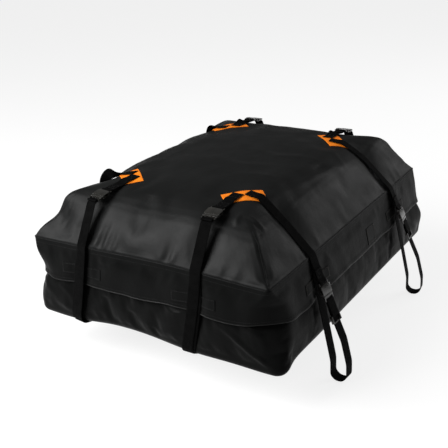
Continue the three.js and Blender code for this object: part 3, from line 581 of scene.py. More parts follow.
def billowed(grid, held, cap, inward, growth, pressure, bending):
    """A grid of closed rings after the simulation, moved by at most a cap."""
    rows = np.unique(np.append(np.arange(0, len(grid), SIM_ROW_STEP), len(grid) - 1))
    columns = np.arange(0, COLUMNS, SIM_COLUMN_STEP)
    coarse = grid[rows][:, columns]
    faces = grid_faces(len(rows), len(columns))
    if grid_normals(coarse)[0, 0] @ (coarse[0, 0] * (1, 1, 0)) < 0:
        faces = flipped(faces)
    pinned = held[rows][:, columns]
    rested = simulated(coarse.reshape(-1, 3), faces, pinned.ravel(), growth, pressure, bending)
    shift = rested.reshape(coarse.shape) - coarse
    length = np.linalg.norm(shift, axis=-1, keepdims=True)
    shift *= np.tanh(length / cap) * cap / np.maximum(length, 1e-6)
    calm = ramp(coarse[..., 0], 250, 400) * ramp(coarse[..., 1], -520, -430)
    shift *= ((1 - pinned) * (1 - CALM_RIGHT * calm))[..., None]
    around = np.concatenate([shift, shift[:, :1]], 1)
    places = np.append(columns, COLUMNS)
    wide = np.stack([at_run(np.arange(COLUMNS), places, row) for row in around])
    full = np.stack([at_run(np.arange(len(grid)), rows, wide[:, c]) for c in range(COLUMNS)], 1)
    normals = grid_normals(grid)
    outwards = (full * normals).sum(-1, keepdims=True)
    full += normals * (np.maximum(outwards, -inward) - outwards)
    return grid + full


def pressed(points, width):
    """1 where a strap lies over the cloth, and 0 away from the straps."""
    share = np.zeros(points.shape[:-1])
    for strap in STRAPS:
        u, w, _ = np.moveaxis(strap.local(points), -1, 0)
        share = np.maximum(share, np.where(u > 0, bell(w, width), 0))
    return share


# Lid

# How far the lid rises above the seam, by how far in from its edge
LID_PROFILE = [
    (0, 0), (20, 25), (40, 53), (60, 83), (79, 110), (97, 126), (120, 137), (165, 150), (230, 159),
    (320, 164), (HALF_WIDTH, 166),
]
# How far out the lid's hidden skirt lies, by height
LID_SKIRT = [(ZIP, -RECESS), (SEAM - 18, -RECESS), (SEAM - 7, -2), (SEAM, 0)]
SKIRT_BOTTOM = ZIP + 0.5
SKIRT_ROWS = 14
RIM_INSET = 150
RIM_STEP = 3.75
CROWN_ROWS = 46
DIP_INSET = 84
DIP_REACH = 62
SIDE_DIP = 24
CORNER_DIP = 18
CORNER_DIP_REACH = 130
CORNER_GROWTH = 0.05


def rise_at(inset):
    fine = np.arange(0, HALF_WIDTH + 1)
    return np.interp(inset, fine, softened(from_table(fine, LID_PROFILE), 3))


def lid_dip(x, y, inset):
    """How far the straps and the near corner pull the lid's shoulder down."""
    across = bell(inset - DIP_INSET, DIP_REACH)
    near_side = HALF_WIDTH - np.abs(x) < HALF_LENGTH - np.abs(y)
    dip = np.zeros_like(x)
    for strap in STRAPS:
        if strap.to_rail:
            run = abs(strap.start[0]) - DIP_INSET
            crossing = strap.start[1] + run * strap.out[1] / abs(strap.out[0])
            own = near_side & (np.sign(x) == np.sign(strap.start[0]))
            dip = np.where(own, np.maximum(dip, SIDE_DIP * bell(y - crossing, DIP_REACH) * across), dip)
    corner = np.hypot(x - (HALF_WIDTH - DIP_INSET), y + HALF_LENGTH - DIP_INSET)
    return np.maximum(dip, CORNER_DIP * bell(corner, CORNER_DIP_REACH) * across)


def lid_grid():
    """The lid's points, row by row from its hidden skirt up to its crown, and each row's inset."""
    rows = [outline(z, from_table(z, LID_SKIRT)) for z in np.linspace(SKIRT_BOTTOM, SEAM, SKIRT_ROWS)]
    insets = [0.0] * SKIRT_ROWS
    for inset in np.arange(RIM_STEP, RIM_INSET + 0.1, RIM_STEP):
        rows.append(outline(SEAM, -inset, radius_at(SEAM) + inset * CORNER_GROWTH))
        insets.append(inset)
    edge = rows[-1]
    for k in range(1, CROWN_ROWS):
        share = 1 - k / CROWN_ROWS
        rows.append(edge * (share, share, 1))
        insets.append(RIM_INSET + (1 - share) * (HALF_WIDTH - RIM_INSET))
    points = np.stack(rows)
    inset = np.repeat(np.array(insets)[:, None], COLUMNS, 1)
    lifted = SEAM + rise_at(inset) - lid_dip(points[..., 0], points[..., 1], inset)
    points[..., 2] = np.where(inset > 0, lifted, points[..., 2])
    return warped(points), inset


# Creases of the photograph: a line on the lid, its height, width and fold
LID_CREASES = [
    ([(433, -558, 264), (395, -515, 306), (352, -472, 352), (326, -455, 366)], -1.6, 3.0, 0.0),
    ([(345, -440, 360), (322, -442, 372), (300, -440, 384)], -13.0, 5, 0.0),
    ([(350, -416, 372), (318, -412, 388), (268, -412, 399)], 8.0, 8, 0.6),
    ([(268, -404, 402), (262, -430, 396), (272, -452, 382)], 5.0, 9, 0.0),
    ([(277, -268, 402), (300, -86, 400), (326, 129, 400), (332, 200, 398)], 7.0, 18, 0.4),
    ([(-318, -470, 384), (-330, -500, 345), (-350, -530, 300)], 5.0, 8, 0.7),
    ([(-245, -505, 338), (-262, -530, 304), (-270, -548, 276)], -4.0, 16, 0.0),
    ([(-60, -60, 430), (60, -100, 429), (190, -60, 425)], 2.2, 22, 0.3),
    ([(20, 60, 430), (140, 30, 429), (260, 90, 412)], 2.4, 20, 0.3),
    ([(100, -190, 429), (170, -150, 427), (240, -140, 415)], 2.0, 16, 0.3),
    ([(300, 60, 404), (340, 120, 388), (352, 210, 372)], 2.5, 18, 0.3),
    ([(255, 220, 410), (300, 170, 402), (352, 140, 376)], 2.4, 13, 0.3),
    ([(270, 360, 404), (330, 400, 380), (390, 440, 318)], 2.5, 14, 0.4),
    ([(330, 440, 372), (370, 490, 330), (410, 530, 290)], 4.0, 13, 0.0),
]
# The sewn darts of the other three corners are alike
for sign_x, sign_y in ((-1, 1), (1, 1), (-1, -1)):
    dart = [(sign_x * x, sign_y * y, z) for x, y, z in ((435, 556, 264), (352, 472, 352), (318, 449, 369))]
    LID_CREASES.append((dart, -2.0, 5, 0.0))
# Short folds that rise from the seam: the side, the x or y along it, height, width and length
SEAM_FOLDS = [
    ("front", -188, 4.5, 7, 50), ("front", -168, -3.0, 8, 40), ("front", -148, 4.0, 7, 42),
    ("front", -112, 3.5, 8, 34), ("front", 62, 3.0, 9, 26), ("front", 84, -2.5, 9, 26),
    ("front", 104, 3.5, 8, 30), ("front", 270, 2.5, 9, 30), ("front", 320, 2.5, 10, 34),
    ("right", -340, 2.5, 9, 36), ("right", -236, 2.2, 9, 30), ("right", -40, 1.8, 12, 34),
    ("right", 120, 2.0, 12, 30), ("right", 262, 3.0, 8, 44), ("right", 300, -2.4, 9, 40),
    ("right", 386, 3.0, 9, 42), ("right", 430, 2.4, 9, 36), ("rear", -250, 3.2, 8, 40),
    ("rear", -140, 3.0, 9, 38), ("rear", 40, 2.4, 11, 34), ("rear", 150, 3.4, 8, 44),
    ("rear", 252, 2.8, 9, 36), ("left", -340, 3.2, 8, 42), ("left", -240, 3.0, 9, 36),
    ("left", 20, 2.0, 12, 32), ("left", 236, 3.2, 8, 42), ("left", 340, 2.8, 9, 38),
]
FOLD_LEAN = 0.25
FOLD_SPREAD = 0.12
CHANNEL_DEPTH = 5.0
CHANNEL_WIDTH = 30
PRESS_WIDTH = 34
PATCH_REACH = 80


def strap_channels(points, inset):
    """How far the taut straps press into the lid."""
    depth = np.zeros(inset.shape)
    for strap in STRAPS:
        if strap.side != "rear":
            u, w, _ = np.moveaxis(strap.local(points), -1, 0)
            depth = np.maximum(depth, CHANNEL_DEPTH * bell(w, CHANNEL_WIDTH) * ramp(u, 60, 120))
    return depth * (0.35 + 0.65 * ramp(inset, 0, 60))


def seam_folds(points, inset):
    total = np.zeros(inset.shape)
    for side, place, height, width, length in SEAM_FOLDS:
        on_rail_side = side in RAIL_SIDES
        heading = math.radians(HEADINGS[side])
        out = points @ (math.cos(heading), math.sin(heading), 0.0)
        facing = out > (300 if on_rail_side else 400)
        away = points[..., 1 if on_rail_side else 0] - place - FOLD_LEAN * inset
        shape = bell(away, width + FOLD_SPREAD * inset) * ramp(inset, 0, 6) * bell(inset, length)
        total += np.where(facing, height * shape, 0)
    return total


def make_lid():
    points, inset = lid_grid()
    shoulder = np.clip(1 - np.abs(inset - 80) / 80, 0, 1)
    lift = waves(points, (2.0, 170, 1), (0.9, 66, 2)) + shoulder * waves(points, (0.5, 32, 3))
    lift = ramp(inset, 0, 20) * lift - strap_channels(points, inset) * ramp(inset, 0, 10)
    lift += seam_folds(points, inset)
    for line, height, width, fold in LID_CREASES:
        lift += ramp(inset, 0, 5) * crease(points, line, height, width, fold)
    points = points + grid_normals(points) * lift[..., None]
    held = pressed(points, PRESS_WIDTH)
    for sign_x, sign_y in PATCHES.values():
        away = np.hypot(points[..., 0] - sign_x * PATCH_X, points[..., 1] - sign_y * PATCH_Y)
        held = np.maximum(held, bell(away, PATCH_REACH))
    held = np.where(inset < 4, 1.0, 0.95 * held)
    return billowed(points, held, cap=8, inward=6, growth=0.006, pressure=1.5, bending=8.0)


lid_points = make_lid()
lid_top = (0, 0, lid_points[-1, :, 2].mean() + 0.1)
lid_shell = add_piece("lid_shell", *capped(lid_points, (0, 0, SKIRT_BOTTOM), lid_top), LID_FABRIC)
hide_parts("lid")
lid_tree = tree_of(lid_points)


# Base tub

# How far the wall lies off the plain outline, by height
TUB_OUTSETS = [(BASE_EDGE, 0), (55, 2.2), (83, 3), (110, 2.0), (133, 0), (151, -RECESS), (ZIP, -RECESS)]
TUB_ROW = 4
TUB_CREASES = [
    ([(236, -566, 132), (300, -566, 100), (380, -562, 52), (450, -556, 6)], 4.0, 9, 0.7),
    ([(60, -566, 136), (110, -566, 118), (170, -566, 126)], 3.0, 9, 0.6),
    ([(340, -566, 138), (400, -564, 110), (430, -560, 60)], 3.5, 14, 0.4),
    ([(-420, -545, 120), (-400, -556, 90), (-350, -562, 60)], 4.5, 12, 0.5),
    ([(-410, -552, 62), (-330, -563, 40), (-250, -564, 22)], 3.5, 12, 0.4),
    ([(-345, -564, 118), (-300, -564, 84), (-290, -563, 44)], 2.5, 10, 0.4),
    ([(-40, -566, 60), (60, -566, 40), (150, -566, 48)], 2.5, 16, 0.3),
    ([(478, -380, 120), (482, -300, 80), (480, -200, 70)], 3.0, 16, 0.3),
    ([(475, 60, 124), (480, 160, 90), (478, 260, 96)], 3.0, 16, 0.3),
    ([(470, 400, 124), (478, 460, 80), (470, 520, 40)], 4.0, 14, 0.4),
    ([(-438, -200, 110), (-440, 0, 80), (-440, 160, 96)], 3.0, 18, 0.3),
    ([(-438, 380, 120), (-438, 450, 70), (-430, 520, 40)], 4.0, 14, 0.4),
    ([(-200, 584, 110), (0, 588, 80), (180, 584, 104)], 3.0, 18, 0.3),
    ([(300, 580, 120), (380, 578, 70), (430, 560, 30)], 4.0, 14, 0.4),
]
TUB_CREASE_GAIN = 1.5


def tub_grid():
    """The tub's points, row by row from the middle of its base up to the zip."""
    edge = outline(0, -BASE_EDGE)
    rows = [edge * (share, share, 1) for share in np.linspace(0.12, 0.97, 12)]
    turn = np.radians(np.linspace(0, 90, 8))
    heights = np.arange(BASE_EDGE + TUB_ROW, ZIP + 0.1, TUB_ROW)
    levels = list(zip(BASE_EDGE * (1 - np.cos(turn)), BASE_EDGE * (np.sin(turn) - 1)))
    levels += list(zip(heights, from_table(heights, TUB_OUTSETS)))
    rows += [outline(z, outset) for z, outset in levels]
    return warped(np.stack(rows))


def make_tub():
    points = tub_grid()
    z = points[..., 2]
    wall = ramp(z, 0, 20) * ramp(z, 150, 125)
    lift = wall * waves(points, (2.6, 210, 5), (0.8, 75, 6))
    for line, height, width, fold in TUB_CREASES:
        lift += wall * crease(points, line, TUB_CREASE_GAIN * height, width, fold)
    points = points + grid_normals(points) * np.clip(lift, -7, 6)[..., None]
    held = np.maximum(pressed(points, PRESS_WIDTH) * 0.9, 1 - ramp(z, 8, 33) * ramp(z, 148, 123))
    return billowed(points, held, cap=7, inward=6, growth=0.013, pressure=1.5, bending=2.5)


tub_points = make_tub()
# The tub in the darker wall fabric: painted shade on its walls.
tub_shell = add_piece("tub_shell", *capped(tub_points, (0, 0, 0), (0, 0, ZIP)), SHADED_WALL_FABRIC)
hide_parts("base_tub")


# Storm flap

FLAP_TOP = 262
FLAP_BOTTOM = 139
FLAP_CLOTH = 1.4
FLAP_ROWS = 26
# How far its waves and the straps may bring it in, how wide the straps hold it, and its hem's lift
FLAP_INWARD = 3.4
FLAP_PRESS = 2.6
FLAP_PRESS_WIDTH = 30
HEM_LIFT = 0.8
# How far out the flap hangs, by height
FLAP_SLANT = [(FLAP_BOTTOM, 9.4), (ZIP + 12, 5.6), (246, 2.5), (FLAP_TOP, 0.9)]
# How far the flap's edge is raised: x and y of the place, the reach and the height
FLAP_EDGE = [
    (435, -560, 70, 15), (110, -560, 90, 8), (-350, -560, 50, -6), (450, -380, 60, -7), (-435, -560, 40, 5),
    (-435, 100, 120, 5), (0, 575, 120, 5),
]


def downward_normals(grid):
    """Outward directions of a grid whose rows run downwards."""
    return grid_normals(grid[::-1])[::-1]


def make_flap():
    """The flap's outer and inner skins, row by row downwards, and its outward directions."""
    share = np.linspace(0, 1, FLAP_ROWS)[:, None]
    levels = FLAP_TOP + (FLAP_BOTTOM - FLAP_TOP) * share[:, 0]
    skin = np.stack([outline(z, from_table(z, FLAP_SLANT)) for z in levels])
    raised = np.zeros(COLUMNS)
    for x, y, reach, height in FLAP_EDGE:
        raised += height * bell(np.hypot(skin[-1, :, 0] - x, skin[-1, :, 1] - y), reach)
    skin[..., 2] += share * raised
    skin = warped(skin)
    hang = share ** 1.3
    edge = np.repeat(skin[-1:], FLAP_ROWS, 0)
    lift = hang * waves(edge, (4.0, 150, 8), (1.8, 55, 9)) + waves(skin, (1.6, 70, 10)) * hang ** 0.5
    lift = np.maximum(lift, -FLAP_INWARD) - FLAP_PRESS * pressed(skin, PRESS_WIDTH) * hang
    outer = skin + downward_normals(skin) * lift[..., None]
    outer[..., 2] += hang * (waves(edge, (2.4, 90, 11)) - 1.0)
    held = np.maximum(pressed(outer, FLAP_PRESS_WIDTH) * 0.9, 1 - ramp(share, 0, 0.3))
    outer = billowed(
        outer[::-1], held[::-1], cap=6, inward=2, growth=0.012, pressure=0.5, bending=2.5)[::-1]
    outward = downward_normals(outer)
    inner = outer - outward * FLAP_CLOTH
    outer += outward * (HEM_LIFT * ramp(share, 0.9, 0.94))[..., None]
    return outer, inner, outward


flap_outer, flap_inner, flap_out = make_flap()
flap_section = np.concatenate([flap_outer, flap_inner[::-1]])
flap_faces = flipped(grid_faces(*flap_section.shape[:2], looped=True))
flap_band = add_piece("flap_band", flap_section, flap_faces, SHADED_WALL_FABRIC)
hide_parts("storm_flap")
flap_length = run_of(flap_outer[FLAP_ROWS // 2])[-1] * MM
flap_tree = tree_of(flap_outer[::-1])


def tube(name, path, radius, sides, material):
    """A round welt along a closed path."""
    along = unit(np.roll(path, -1, 0) - np.roll(path, 1, 0))
    out = np.cross(along, UP)
    over = np.cross(out, along)
    turn = np.linspace(0, 2 * np.pi, sides, endpoint=False)
    rings = np.stack([path + radius * (math.cos(t) * out + math.sin(t) * over) for t in turn])
    return add_piece(name, rings, grid_faces(sides, len(path), looped=True), material)


seam_path = warped(outline(SEAM - 0.8, 0.2, radius_at(SEAM) + 0.2))
seam_path[:, 2] += waves(seam_path, (0.6, 40, 12))
seam_welt = tube("seam_welt", seam_path, 1.4, 10, SHADED_WALL_FABRIC)
# The flap's hem roll, in the lighter and glossier hem fabric: a painted highlight along the hem.
tube("flap_binding", (flap_outer[-1] + flap_inner[-1]) / 2, 1.5, 8, HEM_HIGHLIGHT_FABRIC)


# Stitches: small capsules of thread, laid on a surface

STITCH = 4.2
STITCH_GAP = 1.9
THREAD_RADIUS = 0.45
STITCH_SIDES = np.linspace(0, 2 * np.pi, 6, endpoint=False)
STITCH_RINGS = [[(x, 0.85 * math.cos(t), 0.85 * math.sin(t)) for t in STITCH_SIDES] for x in (-0.36, 0.36)]
STITCH_POINTS, STITCH_FACES = capped(np.array(STITCH_RINGS), (-0.5, 0, 0), (0.5, 0, 0))


def stitched(path, normals, length=STITCH, spacing=STITCH + STITCH_GAP):
    """Middle, direction and normal of each stitch along a path."""
    run = run_of(path)
    count = int(run[-1] // spacing)
    places = []
    for k in range(count):
        middle = (k + 0.5) * run[-1] / count
        a, b = at_run([middle - length / 2, middle + length / 2], run, path)
        places.append(((a + b) / 2, b - a, at_run(middle, run, normals)))
    return places


def add_stitches(name, places, material, slot="coated_fabric", radius=THREAD_RADIUS):
    points = []
    faces = []
    for middle, direction, normal in places:
        length = np.linalg.norm(direction)
        along = direction / length
        across = unit(np.cross(normal, along))
        axes = np.stack([length * along, radius * across, radius * np.cross(along, across)])
        base = len(points) * len(STITCH_POINTS)
        points.append(middle + STITCH_POINTS @ axes)
        faces += [tuple(base + i for i in face) for face in STITCH_FACES]
    return add_piece(name, np.concatenate(points), faces, material, slot)


def ring_stitches(row, lift):
    path = flap_outer[row] + flap_out[row] * lift
    return stitched(*(np.concatenate([values, values[:1]]) for values in (path, flap_out[row])))


# The flap's stitches in the near-black thread draw the seam's dark line: partly painted shade.
add_stitches("flap_stitches", ring_stitches(3, 0.2) + ring_stitches(FLAP_ROWS - 3, 0.6), DARK_THREAD)


# Sheets that are sewn on: the keepers, the closing tab and the patches

FAR = 800
# How thick a sheet's edge is, as a share of its cloth, and how far it sinks into what it lies on
EDGE_SHARE = 0.75
SHEET_SINK = 0.3
PANEL_SEWING = {"step": 5, "margin": 0.8, "cloth": 1.3, "inset": 3, "corner": 1.5, "thread": 0.2}
PATCH_SEWING = {"step": 3, "margin": 0.7, "cloth": 1.4, "inset": 4, "corner": 2, "thread": 0.15}
KEEPER_LENGTH = 155
KEEPER_HEIGHT = 34
KEEPER_Z = 183
TAB_Y = 100
TAB_WIDTH = 62
TAB_HEIGHT = 56
TAB_Z = FLAP_BOTTOM + 11 + TAB_HEIGHT / 2
PATCH_LENGTH = 132
PATCH_WIDTH = 66
PATCH_GAP = 0.5


def sampler(tree, centre, along, across, out, gap=0.0):
    """A function that gives the point and normal of a surface at u along and v across."""

    def sample(u, v):
        start = centre + along * u + across * v + out * FAR
        hit, normal, _, _ = tree.ray_cast(Vector(start), Vector(-out))
        normal = np.array(normal)
        normal = normal if normal @ out > 0 else -normal
        return np.array(hit) + normal * gap, normal

    return sample


def sheet_on(name, sample, across, along, thickness, material, slot):
    """A thin closed sheet laid on a surface."""
    place = [[sample(u, v) for u in across] for v in along]
    base = np.array([[p for p, n in row] for row in place])
    normal = np.array([[n for p, n in row] for row in place])
    rows, columns = base.shape[:2]
    rim = np.ones((rows, columns))
    rim[[0, -1]] = rim[:, [0, -1]] = EDGE_SHARE
    upper = base + normal * (thickness * rim)[..., None]
    points = np.concatenate([upper.reshape(-1, 3), (base - normal * SHEET_SINK).reshape(-1, 3)])
    faces = grid_faces(rows, columns, closed=False)
    count = rows * columns
    faces += [tuple(count + i for i in face) for face in flipped(faces)]
    index = np.arange(count).reshape(rows, columns)
    border = np.concatenate([index[0], index[1:, -1], index[-1, -2::-1], index[-2:0:-1, 0]]).tolist()
    for a, b in zip(border, border[1:] + border[:1]):
        faces.append((b, a, count + a, count + b))
    uvs = np.tile(np.stack(np.meshgrid(across, along), -1).reshape(-1, 2), (2, 1))
    return add_piece(name, points, faces, material, slot, uvs=uvs)


def edge_spaced(half, step, margin):
    inner = np.linspace(-half + margin, half - margin, int(2 * half / step) + 1)
    return np.concatenate([[-half], inner, [half]])


def rounded_outline(half_u, half_v, radius, step=3.0):
    """Points round a rectangle with rounded corners, as (u, v)."""
    points = []
    for u, v, start in [(1, -1, -90), (1, 1, 0), (-1, 1, 90), (-1, -1, 180)]:
        for angle in np.radians(start + np.linspace(0, 90, 5)):
            points.append((u * (half_u - radius) + radius * math.cos(angle),
                           v * (half_v - radius) + radius * math.sin(angle)))
    path = np.array(points + points[:1])
    run = run_of(path)
    return at_run(np.linspace(0, run[-1], int(run[-1] / step) + 1), run, path)


def sewn_sheet(name, sample, width, height, sewing, material, slot="coated_fabric"):
    """A sheet laid on a surface, and the stitches round its edge."""
    across, up = (edge_spaced(size / 2, sewing["step"], sewing["margin"]) for size in (width, height))
    piece = sheet_on(name, sample, across, up, sewing["cloth"], material, slot)
    halves = (size / 2 - sewing["inset"] for size in (width, height))
    loop = [sample(u, v) for u, v in rounded_outline(*halves, sewing["corner"])]
    path = np.array([p + n * (sewing["cloth"] + sewing["thread"]) for p, n in loop])
    return piece, stitched(path, np.array([n for _, n in loop]))


SIDE_AXES = {
    "front": (np.array([1.0, 0, 0]), np.array([0, -1.0, 0])),
    "right": (np.array([0, 1.0, 0]), np.array([1.0, 0, 0])),
    "rear": (np.array([-1.0, 0, 0]), np.array([0, 1.0, 0])),
    "left": (np.array([0, -1.0, 0]), np.array([-1.0, 0, 0])),
}
panels = []
for strap in STRAPS:
    crossing = strap.world(strap.wall, 0.0, KEEPER_Z) @ SIDE_AXES[strap.side][0]
    panels.append(("keeper_" + strap.name, strap.side, crossing, KEEPER_Z, KEEPER_LENGTH, KEEPER_HEIGHT))
panels.append(("closing_tab", "right", TAB_Y, TAB_Z, TAB_WIDTH, TAB_HEIGHT))
panel_stitches = {side: [] for side in HEADINGS}
surfaces = {}
for name, side, centre, middle, width, height in panels:
    along, out = SIDE_AXES[side]
    sample = sampler(flap_tree, along * centre + UP * middle, along, UP, out)
    piece, stitches = sewn_sheet(name, sample, width, height, PANEL_SEWING, SHADED_WALL_FABRIC)
    surfaces[name] = mesh_points(piece.data)
    panel_stitches[side] += stitches
for side, places in panel_stitches.items():
    # The right side's stitches are drawn pale, a painted highlight, and the other sides' near-black, partly
    # painted shade.
    colour = PALE_HIGHLIGHT_THREAD if side == "right" else DARK_THREAD
    add_stitches("panel_stitches_" + side, places, colour, radius=0.7)

patch_stitches = []
for name, (sign_x, sign_y) in PATCHES.items():
    centre = np.array([sign_x * PATCH_X, sign_y * PATCH_Y, 0.0])
    along = np.array([1.0, -sign_x * sign_y, 0.0]) / math.sqrt(2)
    sample = sampler(lid_tree, centre, along, np.cross(UP, along), UP, PATCH_GAP)
    piece, stitches = sewn_sheet(
        "patch_cloth_" + name, sample, PATCH_LENGTH, PATCH_WIDTH, PATCH_SEWING, PATCH_FABRIC, "patch_fabric")
    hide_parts("patch_" + name)
    surfaces["patch_" + name] = mesh_points(piece.data)
    patch_stitches += stitches
add_stitches("patch_stitches", patch_stitches, ORANGE_THREAD, "patch_fabric")


# The stitches up the lid's rear right corner, which the other corners mirror
DART = ((430, 552, 267), (352, 472, 352), (322, 450, 368))


def dart_stitches():
    """A line of stitches up each corner of the lid."""
    places = []
    for sign_x, sign_y in PATCHES.values():
        line = np.array([(sign_x * x, sign_y * y, z) for x, y, z in DART])
        found = [lid_tree.find_nearest(p.tolist())[:2] for p in respaced(line, 6.0)]
        points, normals = (np.array([value[:] for value in values]) for values in zip(*found))
        places += stitched(points + normals * 0.2, normals, 5.6, 6.0)
    return places


add_stitches("dart_stitches", dart_stitches(), DARK_THREAD, radius=0.8)


# Zip under the flap

# Its section, from the tape's edge to the teeth: how far from its middle and how far out
ZIP_SECTION = [(13, 0), (13, 1.2), (3, 1.5), (2.4, 3.2), (0, 3.7)]
ZIP_BASE = 0.3 - RECESS
TOOTH_LENGTH = 5.4


def add_zip():
    """The zip's tape and teeth, round the right side, the front and the left side."""
    section = [(ZIP - away, ZIP_BASE + out) for away, out in ZIP_SECTION]
    section += [(ZIP + away, ZIP_BASE + out) for away, out in ZIP_SECTION[-2::-1]]
    rear_right = 2 * CORNER_STEPS + LONG_STEPS
    rear_left = rear_right + SHORT_STEPS
    order = np.arange(rear_left, COLUMNS + rear_right + 1) % COLUMNS
    rings = np.stack([warped(outline(z, out))[order] for z, out in section])
    rows, columns = rings.shape[:2]
    faces = grid_faces(rows, columns, closed=False, looped=True)
    faces.append(tuple(r * columns for r in range(rows)))
    faces.append(tuple(r * columns + columns - 1 for r in range(rows - 1, -1, -1)))
    piece = add_piece("zip_tape", rings, faces, ZIP_TAPE, "zip_tape")
    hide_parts("zip")
    path = rings[len(ZIP_SECTION) - 1]
    places = stitched(path, unit(np.cross(np.gradient(path, axis=0), UP)), length=1.6, spacing=3.0)
    teeth = [(middle - normal * 0.2, UP * TOOTH_LENGTH, normal) for middle, _, normal in places]
    add_stitches("zip_teeth", teeth, ZIP_TAPE, "zip_tape", radius=0.9)


add_zip()


# Strap routes

def hull(points):
    """Corners of the convex hull, anticlockwise."""
    points = points[np.lexsort((points[:, 1], points[:, 0]))]

    def half(rows):
        kept = []
        for p in rows:
            while len(kept) > 1:
                a, b = kept[-2], kept[-1]
                if (b[0] - a[0]) * (p[1] - a[1]) - (b[1] - a[1]) * (p[0] - a[0]) > 0:
                    break
                kept.pop()
            kept.append(p)
        return kept[:-1]

    return np.array(half(points) + half(points[::-1]))


def taut(start, end, surface):
    """The shortest way over a surface, clockwise from the start to the end."""
    ring = hull(np.vstack([start, end, surface]))[::-1]
    first = int(np.argmin(np.linalg.norm(ring - start, axis=1)))
    ring = np.roll(ring, -first, 0)
    last = int(np.argmin(np.linalg.norm(ring - end, axis=1)))
    return ring[:last + 1]


def surface_under(strap, clearance, grids):
    """Points of the surfaces under a strap's width, pushed out by a clearance all round."""
    found = []
    for grid in grids:
        u, w, z = np.moveaxis(strap.local(grid.reshape(-1, 3)), -1, 0)
        near = (np.abs(w) <= WEB_WIDTH / 2 + 2) & (u > -60)
        found.append(np.stack([u[near], z[near]], 1))
    turns = np.linspace(0, 2 * np.pi, 12, endpoint=False)
    disc = clearance * np.stack([np.cos(turns), np.sin(turns)], 1)
    return (np.concatenate(found)[:, None, :] + disc).reshape(-1, 2)


def ribbon_section():
    """The webbing's cross-section: flat faces and round edges."""
    half = WEB_WIDTH / 2
    thick = WEB_THICKNESS / 2
    flat = np.linspace(-half + thick, half - thick, 7)
    turns = np.radians([45, 90, 135])
    points = [(w, thick) for w in flat[::-1]]
    points += [(-half + thick * (1 - math.sin(a)), thick * math.cos(a)) for a in turns]
    points += [(w, -thick) for w in flat]
    points += [(half - thick * (1 - math.sin(a)), -thick * math.cos(a)) for a in turns]
    return np.array(points)


RIBBON = ribbon_section()


def ribbon(name, centres, across, normals, body="bag", closed=False):
    """A webbing ribbon through 3-D points, with its own directions across and off it."""
    sides = len(RIBBON)
    count = len(centres)
    rings = centres[:, None] + RIBBON[:, :1] * across[:, None] + RIBBON[:, 1:] * normals[:, None]
    faces = [(a, d, c, b) for a, b, c, d in grid_faces(count, sides, looped=closed)]
    if not closed:
        faces.append(tuple(range(sides)))
        faces.append(tuple(range(count * sides - 1, (count - 1) * sides - 1, -1)))
    uvs = np.stack(np.meshgrid(run_of(RIBBON), run_of(centres)), -1)
    return add_piece(name, rings, faces, WEBBING, "webbing", body, uvs)


def plane_normals(path):
    """Unit vectors to the left of a (u, z) path, which is off the bag on its way out."""
    along = unit(np.gradient(path, axis=0))
    return np.stack([-along[:, 1], along[:, 0]], 1)


def strap_ribbon(name, strap, path, side=0.0, turned=0.0):
    """A ribbon along a (u, z) path of a strap, shifted sideways or twisted where asked."""
    centres = strap.world(path[:, 0], side, path[:, 1])
    flat = plane_normals(path)
    along = unit(np.gradient(centres, axis=0))
    across = unit(np.cross(flat[:, :1] * strap.out + flat[:, 1:] * UP, along))
    turned = np.broadcast_to(turned, len(path))[:, None]
    across = across * np.cos(turned) + np.cross(along, across) * np.sin(turned)
    normals = np.cross(along, across)
    ribbon(name, centres, across, normals)
    return centres, across, normals


def box_stitches(centres, across, normals, start, end, lift):
    """A sewn box with a cross in it, between two distances along a ribbon."""
    run = run_of(centres)
    half = WEB_WIDTH / 2 - 4
    a, b, c, d = (start, -half), (end, -half), (end, half), (start, half)
    places = []
    for line in ((a, b, c, d, a), (a, c), (d, b)):
        flat = respaced(np.array(line, float), 2.0)
        middle, sideways, up = (at_run(flat[:, 0], run, values) for values in (centres, across, normals))
        places += stitched(middle + sideways * flat[:, 1:] + up * lift, up, length=3.4, spacing=5.0)
    return places


# Hardware, and the straps that it joins

FEMALE_BAR = 1.5
AXIS_HEIGHT = 5.0
EYE_RADIUS = 3.3
FOLD_LENGTH = 46
GLIDE_TAIL = 24
ANCHOR_Z = 245
LAYER = 1.9
NEAR = 1.9
RAIL_DISTANCE = 103
RAIL_DROP = 92
RAIL_WIDTH = 48
RAIL_HEIGHT = 74
RAIL_ROUND = 15
BAR_INSET = 105
BAR_TUBE = 28
BAR_ROUND = 8
KNEE_Z = 9
# Slack humps of the top straps beside the patches: start, end, height and twist in degrees
SLACK = {
    "left_front": (24, 150, 23, 84), "rear_left": (16, 90, 7, 20), "rear_right": (16, 90, 7, 15),
    "left_rear": (18, 92, 9, 30), "right_rear": (14, 60, 3, 0), "front_left": (16, 62, 3, 0),
    "front_right": (16, 62, 3, 0), "right_front": (14, 60, 4, 0),
}
SLACK_SKEW = 1.4
# How far the strand that returns behind lies beside the outer one
RETURN_SHIFT = {"front_right": 9, "front_left": -9, "right_front": -4, "right_rear": -4}


class Chain:
    """Where a strap's buckle lies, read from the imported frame."""

    def __init__(self, strap):
        axis = np.array(slides["unclip_" + strap.name]["axis"], float)
        self.along = axis / np.linalg.norm(axis)
        self.off = np.cross(self.along, strap.across)
        female = mesh_points(nodes["buckle_female_" + strap.name].data)
        self.link = mesh_points(nodes["web_link_" + strap.name].data)
        height = female @ self.off
        self.bar = (
            self.along * ((female @ self.along).min() + FEMALE_BAR)
            + self.off * (height.min() + height.max()) / 2
            + strap.across * (female.mean(0) @ strap.across)
        )
        start = self.bar @ self.along
        reach = self.link @ self.along - start
        self.strap_start = reach.min() - 1
        self.link_end = reach.max()
        if strap.to_rail:
            glide = mesh_points(nodes["tri_glide_" + strap.name].data) @ self.along
            self.strap_start = glide.min() - start - GLIDE_TAIL

    def point(self, distance, height):
        """A point of the (u, z) plane by its distance from the bar and height over the strap."""
        return self.bar + self.along * distance + self.off * (height - AXIS_HEIGHT)


def flat_point(strap, point):
    u, _, z = strap.local(point)
    return np.array([u, z])


